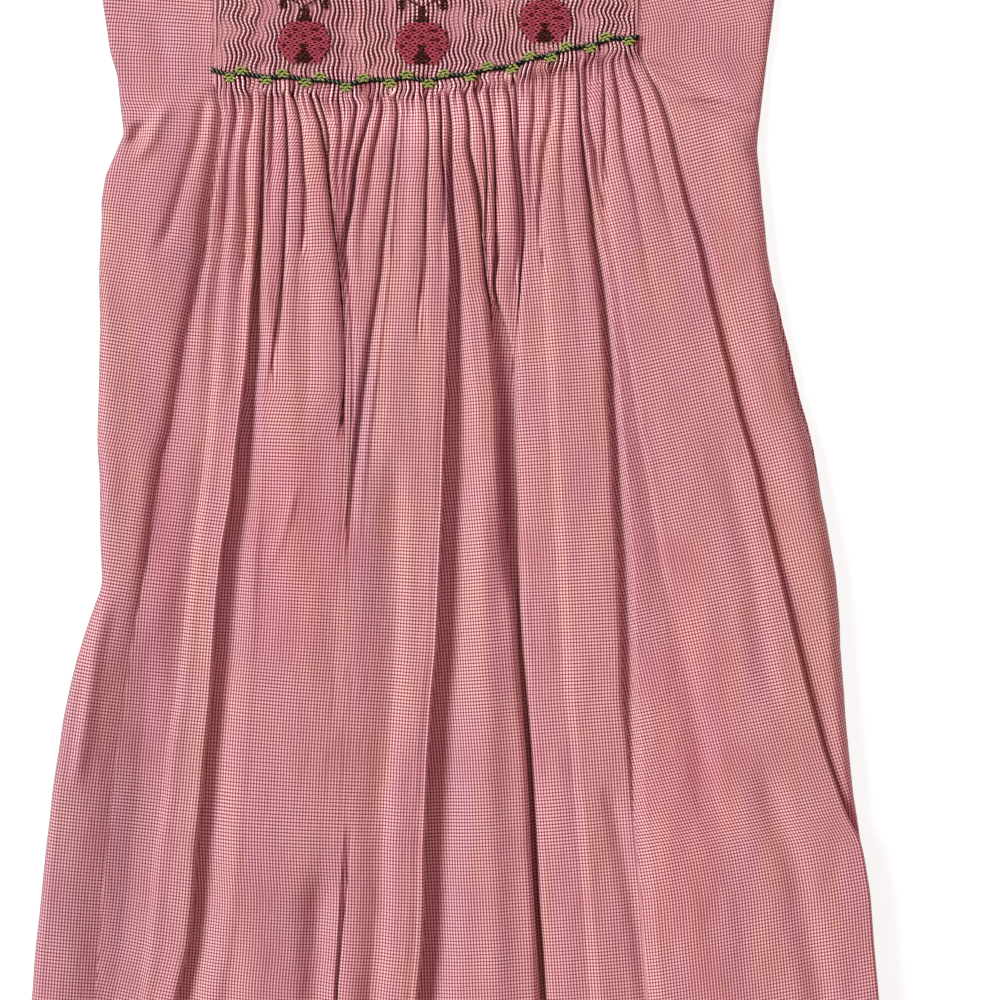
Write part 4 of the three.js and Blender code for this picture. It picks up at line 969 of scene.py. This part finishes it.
# ------------------------------------------------------------------ bindings
def sweep(name, path, width, thick, mat, uv_scale=1.0):
    """A folded strip: a flat oval section swept along a path of points in the frame, its width lying level."""
    path = np.asarray(path, float)
    n = len(path)
    t = np.gradient(path, axis=0)
    t /= np.linalg.norm(t, axis=1)[:, None]
    side = np.stack([-t[:, 1], t[:, 0], np.zeros(n)], 1)
    length = np.linalg.norm(side, axis=1)
    side = side / np.maximum(length, 1e-6)[:, None]
    up_v = np.cross(t, side)
    up_v *= np.where(up_v[:, 2] < 0, -1, 1)[:, None]
    m = 16
    ang = np.linspace(0, 2 * np.pi, m, endpoint=False)
    ca, sa = np.cos(ang), np.sin(ang)
    sx = np.sign(ca) * np.abs(ca) ** 0.6 * width / 2
    sz = np.sign(sa) * np.abs(sa) ** 0.8 * thick / 2
    pts = path[:, None, :] + side[:, None, :] * sx[None, :, None] + up_v[:, None, :] * sz[None, :, None]
    run = np.concatenate([[0], np.cumsum(np.linalg.norm(np.diff(path, axis=0), axis=1))]) / GRID
    around = np.concatenate([[0], np.cumsum(np.hypot(np.diff(sx), np.diff(sz)))]) / GRID
    uv = np.stack([np.repeat(around[None, :], n, 0) / CHECK_U, np.repeat(run[:, None], m, 1) / CHECK_V], -1)
    i, j = np.meshgrid(np.arange(n - 1), np.arange(m), indexing="ij")
    a = (i * m + j).ravel()
    b = (i * m + (j + 1) % m).ravel()
    quads = np.stack([a, b, b + m, a + m], 1)
    o = make_mesh(name, pts.reshape(-1, 3), quads, uv.reshape(-1, 2))
    o.data.materials.append(mat)
    return o


def refine(points, step_m):
    points = np.asarray(points, float)
    run = np.concatenate([[0], np.cumsum(np.linalg.norm(np.diff(points, axis=0), axis=1))])
    s = np.arange(0, run[-1] + step_m / 2, step_m)
    return np.stack([np.interp(s, run, points[:, k]) for k in range(3)], 1)


BAND = 6.0  # mm
half = (BAND / 2 + 0.1) / 0.44


def offset_path(xs, ds, by):
    t = np.gradient(np.stack([xs, ds], 1), axis=0)
    t /= np.linalg.norm(t, axis=1)[:, None]
    return xs + t[:, 1] * by, ds - t[:, 0] * by


def hairpin(front_pts, back_pts):
    return np.concatenate([front_pts, back_pts[::-1]])


def neck_edge(neck):
    d = np.linspace(SHOULDER, neck, 60)
    lx, rx = strap_inner("L", d, neck), strap_inner("R", d, neck)
    mx = np.linspace(lx[-1], rx[-1], 120)
    xs = np.concatenate([lx, mx[1:-1], rx[::-1]])
    ds = np.concatenate([d, np.full(118, neck), d[::-1]])
    return xs, ds


fx, fd = neck_edge(NECK)
ox, od = offset_path(fx, fd, half)
zf = 3.1 + 1.0 * soft((od - (NECK - 30)) / 20)
front_neck = to_frame(ox, od, zf)
qx, qd = neck_edge(NECK_BACK)
ox2, od2 = offset_path(qx, qd, half)
back_neck = to_frame(ox2, od2, np.full(len(ox2), 0.85))
loop = np.concatenate([front_neck, [front_neck[-1] + (back_neck[-1] - front_neck[-1]) * 0.5 + np.array([0, 0.0006, 0])], back_neck[::-1],
                       [front_neck[0] + (back_neck[0] - front_neck[0]) * 0.5 + np.array([0, 0.0006, 0])], front_neck[:1]])
neck_strip = sweep("neck_strip", refine(loop, 0.0012), BAND * 1e-3, 1.5e-3, check_bias)

arm_strips = []
for side, name in (("L", "armhole_strip_left"), ("R", "armhole_strip_right")):
    d = np.concatenate([np.linspace(SHOULDER, -60, 60), np.linspace(-60, UNDERARM, 30)[1:]])
    xs = left_edge(d) if side == "L" else right_edge(d)
    ox, od = offset_path(xs, d, -half if side == "L" else half)
    fpts = to_frame(ox, od, np.full(len(ox), 2.9))
    bpts = to_frame(ox, od, np.full(len(ox), 0.8))
    bulge = 0.0006
    end1 = (fpts[-1] + bpts[-1]) / 2 + (fpts[-1] - fpts[-2]) / np.linalg.norm(fpts[-1] - fpts[-2]) * bulge
    end0 = (fpts[0] + bpts[0]) / 2 + np.array([0, bulge, 0])
    loop = np.concatenate([fpts, [end1], bpts[::-1], [end0], fpts[:1]])
    arm_strips.append(sweep(name, refine(loop, 0.0012), BAND * 1e-3, 1.4e-3, check_bias))


# ------------------------------------------------------------------ stitches
def surface_z(x, d):
    """Height of the smocking's surface at a point of the grid, mm."""
    near = np.minimum(x - INSET_L, INSET_R - x)
    return REST * 1e3 + 3.0 + 0.9 * np.sqrt(np.clip(near / 60, 0, 1)) + 0.75


stitch_sets = {}


def stitch(kind, x0, d0, x1, d1, radius, rise_mm=0.35, lift_mm=0.1):
    stitch_sets.setdefault(kind, []).append((x0, d0, x1, d1, radius, rise_mm, lift_mm))


def build_stitches(name, rows, mat, ring=6, along=5):
    pts, faces = [], []
    for x0, d0, x1, d1, radius, rise_mm, lift_mm in rows:
        t = np.linspace(0, 1, along)
        xs, ds = x0 + (x1 - x0) * t, d0 + (d1 - d0) * t
        z = surface_z(xs, ds) + lift_mm + rise_mm * np.sin(np.pi * t)
        c = to_frame(xs, ds, z)
        dirn = c[-1] - c[0]
        dirn /= np.linalg.norm(dirn)
        side = np.cross(dirn, [0, 0, 1.0])
        side /= np.linalg.norm(side)
        upv = np.cross(side, dirn)
        rad = radius * 1e-3 * np.clip(np.sin(np.pi * (t * 0.84 + 0.08)), 0, 1) ** 0.35
        ang = np.linspace(0, 2 * np.pi, ring, endpoint=False)
        base = len(pts) * 0 + sum(len(p) for p in pts)
        ringp = c[:, None, :] + rad[:, None, None] * (side[None, None, :] * np.cos(ang)[None, :, None] + upv[None, None, :] * np.sin(ang)[None, :, None])
        pts.append(ringp.reshape(-1, 3))
        for i in range(along - 1):
            for j in range(ring):
                a, b = base + i * ring + j, base + i * ring + (j + 1) % ring
                faces.append((a, b, b + ring, a + ring))
    o = make_mesh(name, np.concatenate(pts), np.array(faces))
    o.data.materials.append(mat)
    return o


PITCH = (INSET_R - INSET_L) / PLEATS
ROW = 3.2


def cable(kind, x, d, phase_up, radius=0.34):
    """One cable stitch over a gap between two pleats, sloping one way or the other."""
    s = 0.9 if phase_up else -0.9
    stitch(kind, x - PITCH * 0.56, d + s, x + PITCH * 0.56, d - s, radius, 0.3, 0.4)


# beetle motif, charted by rows of stitches: half-width of the body in stitches at each row, from the top
BODY = [3.6, 4.4, 5.0, 5.4, 5.7, 5.9, 5.9, 5.9, 5.6, 5.3, 4.8, 4.2, 3.5]
WEDGE = {7: 0.5, 8: 0.9, 9: 1.3, 10: 1.8, 11: 2.2, 12: 1.6}
HEAD = [0.5, 0.6, 0.9, 1.2, 1.6]
SPOTS = [(4, 0), (4, -3), (5, 3), (2, -2), (8, 4), (7, -4.5), (2, 2.5)]
for bx0, by0 in BUGS:
    top = by0 - ROW * (len(BODY) - 1) / 2
    for r, halfw in enumerate(BODY):
        d = top + r * ROW
        off = 0.5 if r % 2 else 0.0
        stitch("shade", bx0 - (halfw + 0.1) * PITCH, d, bx0 + (halfw + 0.1) * PITCH, d, 0.78, 0.0, -0.42)
        c = -8 + off
        while c <= 8:
            if abs(c) <= halfw:
                kind = "rose"
                if abs(c) <= WEDGE.get(r, -1):
                    kind = "brown"
                elif any(sr == r and abs(sc - c) < 0.6 for sr, sc in SPOTS):
                    kind = "rose_dark"
                cable(kind, bx0 + c * PITCH, d, (r + int(np.floor(c))) % 2 == 0, 0.32)
                cable(kind, bx0 + c * PITCH, d + ROW * 0.5, (r + int(np.floor(c))) % 2 == 1, 0.26)
            c += 1
    for r, halfw in enumerate(HEAD):
        d = top - (len(HEAD) - r) * ROW * 1.05
        stitch("shade", bx0 - (halfw + 0.2) * PITCH, d, bx0 + (halfw + 0.2) * PITCH, d, 0.78, 0.0, -0.42)
        off = 0.5 if r % 2 else 0.0
        c = -4 + off
        while c <= 4:
            if abs(c) <= halfw:
                cable("brown", bx0 + c * PITCH, d, r % 2 == 0, 0.38)
                cable("brown", bx0 + c * PITCH, d + ROW * 0.5, r % 2 == 1, 0.34)
            c += 1
    head_top = top - len(HEAD) * ROW * 1.05
    for sgn in (-1, 1):
        for k in range(4):
            stitch("brown", bx0 + sgn * (4 + 5 * k), head_top - 2 - 2.4 * k + (3 if k > 2 else 0), bx0 + sgn * (8.5 + 5 * k), head_top - 4 - 2.4 * k + (3 if k > 2 else 0), 0.46)
        for r, n in enumerate((1, 2, 1)):
            stitch("shade", bx0 + sgn * 21 - 3.4, head_top - 5 + r * ROW, bx0 + sgn * 21 + 3.4, head_top - 5 + r * ROW, 0.6, 0.0, -0.35)
            for k in range(n):
                cable("brown", bx0 + sgn * 21 + (k - (n - 1) / 2) * PITCH, head_top - 5 + r * ROW, k % 2 == 0, 0.46)

# border: a dark stem along the lower edge of the smocking, with leaves above and below it in turn
STEM = np.array([(210, 70), (230, 74), (255, 76), (305, 79), (330, 82), (350, 84), (380, 80), (405, 79), (430, 80), (455, 76),
                 (480, 72), (515, 65), (540, 57), (565, 51), (590, 45), (615, 39), (636, 37)], float)
stem_at = lambda x: np.interp(x, STEM[:, 0], STEM[:, 1])
x = INSET_L - 1.5
while x < INSET_R - 4:
    wobble = lambda at: 0.9 * math.sin(2 * math.pi * (at - 236) / 40.4)
    d0, d1 = stem_at(x) - wobble(x), stem_at(x + PITCH) - wobble(x + PITCH)
    stitch("stem", x - 0.3, d0 - 2.6, x + PITCH + 0.3, d1 + 2.2, 0.47, 0.35, 0.3)
    stitch("stem", x - 0.3, d0 + 2.4, x + PITCH + 0.3, d1 - 2.4, 0.47, 0.20, 0.3)
    # painted highlights: thin pale stitches over the dark stem
    stitch("stem_highlight", x - 0.2, d0 - 1.9, x + PITCH * 0.55, d1 + 0.8, 0.17, 0.2, 0.72)
    stitch("shade", x - 0.5, d0 - 1.2, x + PITCH + 0.5, d1 - 1.2, 0.62, 0.0, -0.35)
    stitch("shade", x - 0.5, d0 + 1.2, x + PITCH + 0.5, d1 + 1.2, 0.62, 0.0, -0.35)
    x += PITCH
ABOVE = [241.6, 283, 320.6, 363.6, 407, 444, 488, 529.5, 566, 605.5]
BELOW = [230, 266, 305.7, 346.5, 390, 429, 470.6, 513, 551, 590.6, 629]
for xs, sgn in ((ABOVE, -1), (BELOW, 1)):
    for cx in xs:
        d = stem_at(cx) + sgn * 3.8
        stitch("shade", cx - 6.5, d - 1.4, cx + 6.5, d - 1.4, 0.6, 0.0, -0.35)
        stitch("shade", cx - 6.5, d + 1.4, cx + 6.5, d + 1.4, 0.6, 0.0, -0.35)
        slope = (stem_at(cx + 8) - stem_at(cx - 8)) / 16
        for r, n in enumerate((2, 3, 2)):
            for k in range(n):
                px = cx + (k - (n - 1) / 2) * PITCH
                py = d + (r - 1) * 2.9 + slope * (px - cx)
                cable("leaf", px, py, (k + r) % 2 == 0, 0.5)

# stitching along the hem and the bindings
sewing = []


def run_stitch(xs, ds, z, length, gap, radius):
    pts = to_frame(np.asarray(xs, float), np.asarray(ds, float), np.asarray(z, float))
    run = np.concatenate([[0], np.cumsum(np.linalg.norm(np.diff(pts, axis=0), axis=1))])
    s = 0.0
    while s + length < run[-1]:
        a = [np.interp(s, run, pts[:, k]) for k in range(3)]
        b = [np.interp(s + length, run, pts[:, k]) for k in range(3)]
        sewing.append((np.array(a), np.array(b), radius))
        s += length + gap


for side in ("L", "R"):
    d = np.linspace(SHOULDER + 4, UNDERARM - 3, 80)
    xs = left_edge(d) if side == "L" else right_edge(d)
    ox, od = offset_path(xs, d, -1.6 if side == "L" else 1.6)
    run_stitch(ox, od, np.full(80, 3.55), 0.0019, 0.0008, 0.13)
ox, od = offset_path(fx, fd, 1.6)
run_stitch(ox[3:-3], od[3:-3], (3.8 + 1.0 * soft((od - (NECK - 30)) / 20))[3:-3], 0.0019, 0.0008, 0.13)
ox, od = offset_path(qx, qd, 1.6)
run_stitch(ox[3:-3], od[3:-3], np.full(len(ox) - 6, 1.62), 0.0019, 0.0008, 0.13)
# the hem's line of stitches lies on the cloth
hem_row = 2 + int(np.argmin(np.abs(V - (HEM - 62))))
hem_line = P[hem_row] + np.array([0, 0, 0.00012])
seen = np.concatenate([[True], np.diff(np.maximum.accumulate(hem_line[:, 0])) > 1e-6])
hem_line = hem_line[seen]
run = np.concatenate([[0], np.cumsum(np.linalg.norm(np.diff(hem_line, axis=0), axis=1))])
s = 0.0
while s + 0.0019 < run[-1]:
    a = np.array([np.interp(s, run, hem_line[:, k]) for k in range(3)])
    b = np.array([np.interp(s + 0.0019, run, hem_line[:, k]) for k in range(3)])
    if abs(a[2] - b[2]) < 0.0012:
        sewing.append((a, b, 0.12))
    s += 0.0027


def build_sewing(name, rows, mat):
    pts, faces = [], []
    for n, (a, b, radius) in enumerate(rows):
        dirn = (b - a) / np.linalg.norm(b - a)
        side = np.cross(dirn, [0, 0, 1.0])
        side /= np.linalg.norm(side)
        upv = np.cross(side, dirn)
        for t, r in ((0, 0.35), (0.25, 1), (0.75, 1), (1, 0.35)):
            c = a + (b - a) * t
            for ang in (0, 0.5 * np.pi, np.pi, 1.5 * np.pi):
                pts.append(c + radius * 1e-3 * r * (side * math.cos(ang) + upv * math.sin(ang)))
        base = n * 16
        for i in range(3):
            for j in range(4):
                faces.append((base + i * 4 + j, base + i * 4 + (j + 1) % 4, base + (i + 1) * 4 + (j + 1) % 4, base + (i + 1) * 4 + j))
    o = make_mesh(name, np.array(pts), np.array(faces))
    o.data.materials.append(mat)
    return o


threads = []
# painted highlights on the stem, as pale thread
stem_highlight = thread_material("stem_highlight_thread", srgb(146, 158, 138))
mats = {"stem_highlight": stem_highlight, "rose": rose, "rose_dark": rose_dark, "brown": brown, "leaf": leaf, "stem": stem, "shade": shade}
for kind, rows in stitch_sets.items():
    threads.append(build_stitches("stitches_" + kind, rows, mats[kind]))
threads.append(build_sewing("sewing_stitches", sewing, pink_thread))

for o in front:
    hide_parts("front")
    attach(o, "root")
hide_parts("back")
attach(back, "root")
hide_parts("neck_binding")
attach(neck_strip, "root")
for o, node in zip(arm_strips, ("armhole_binding_left", "armhole_binding_right")):
    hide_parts(node)
    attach(o, "root")
for o in threads:
    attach(o, "root")
CUTS = {  # what shows of each piece laid flat: width and length in metres, and its area in square metres
    "front_left": (0.10, 0.65, 0.0557), "front_middle_left_top": (0.28, 0.14, 0.0385), "front_middle_left": (0.16, 0.47, 0.0640),
    "front_middle_right": (0.20, 0.61, 0.0870), "front_right": (0.13, 0.65, 0.0743), "back_cloth": (0.38, 0.636, 0.1925),
    "neck_strip": (0.012, 0.526, 0.0042), "armhole_strip_left": (0.012, 0.306, 0.0024), "armhole_strip_right": (0.012, 0.311, 0.0024),
}
for o, held, under in [(o, "gathered", [back]) for o in front] + [(back, "laid", [])] + [(o, "folded", [back]) for o in [neck_strip] + arm_strips]:
    wide, long, flat_area = CUTS[o.name]

# ------------------------------------------------------------------ surface, light, camera
bpy.ops.mesh.primitive_plane_add(size=6, location=(0, 0, -0.0003))
floor = bpy.context.object
floor.name = "floor"
fm, fnt, fb_ = new_material("floor")
fb_.inputs["Base Color"].default_value = (0.30, 0.34, 0.34, 1)
fb_.inputs["Emission Color"].default_value = (0.95, 1.0, 1.0, 1)
fb_.inputs["Emission Strength"].default_value = 0.8
fb_.inputs["Roughness"].default_value = 1.0
fb_.inputs["Specular IOR Level"].default_value = 0.0
floor.data.materials.append(fm)

scene = bpy.context.scene
world = bpy.data.worlds.new("studio")
scene.world = world
world.use_nodes = True
world.node_tree.nodes["Background"].inputs[0].default_value = (1.0, 0.48, 0.48, 1)
world.node_tree.nodes["Background"].inputs[1].default_value = 0.62


def area(name, location, target, size, power, colour):
    data = bpy.data.lights.new(name, "AREA")
    data.shape = "DISK"
    data.size = size
    data.energy = power
    data.color = colour
    o = bpy.data.objects.new(name, data)
    scene.collection.objects.link(o)
    o.location = location
    o.rotation_mode = "QUATERNION"
    o.rotation_quaternion = (Vector(target) - Vector(location)).to_track_quat("-Z", "Y")
    return o


area("key", (-4.16, 1.44, 3.52), (0.0, -0.05, 0), 2.8, 437, (0.9, 1.0, 0.93))
area("fill", (1.2, 0.6, 2.0), (0.0, -0.05, 0), 1.0, 7, (1.0, 0.9, 0.78))

cam_data = bpy.data.cameras.new("camera")
cam = bpy.data.objects.new("camera", cam_data)
scene.collection.objects.link(cam)
cam_data.sensor_width = 36
cam_data.lens = 130
centre = ((500 - MID_ACROSS) * GRID, (MID_DOWN - 500) * GRID)
cam.location = (centre[0], centre[1], 1000 * GRID * cam_data.lens / 36 + 0.007)
cam.rotation_euler = (0, 0, 0)
scene.camera = cam
cam_data.clip_start, cam_data.clip_end = 0.05, 20
scene.view_settings.view_transform = "Standard"
scene.view_settings.look = "None"

print("triangles", {o.name: sum(len(p.vertices) - 2 for p in o.data.polygons) for o in front + [back, neck_strip] + arm_strips + threads})
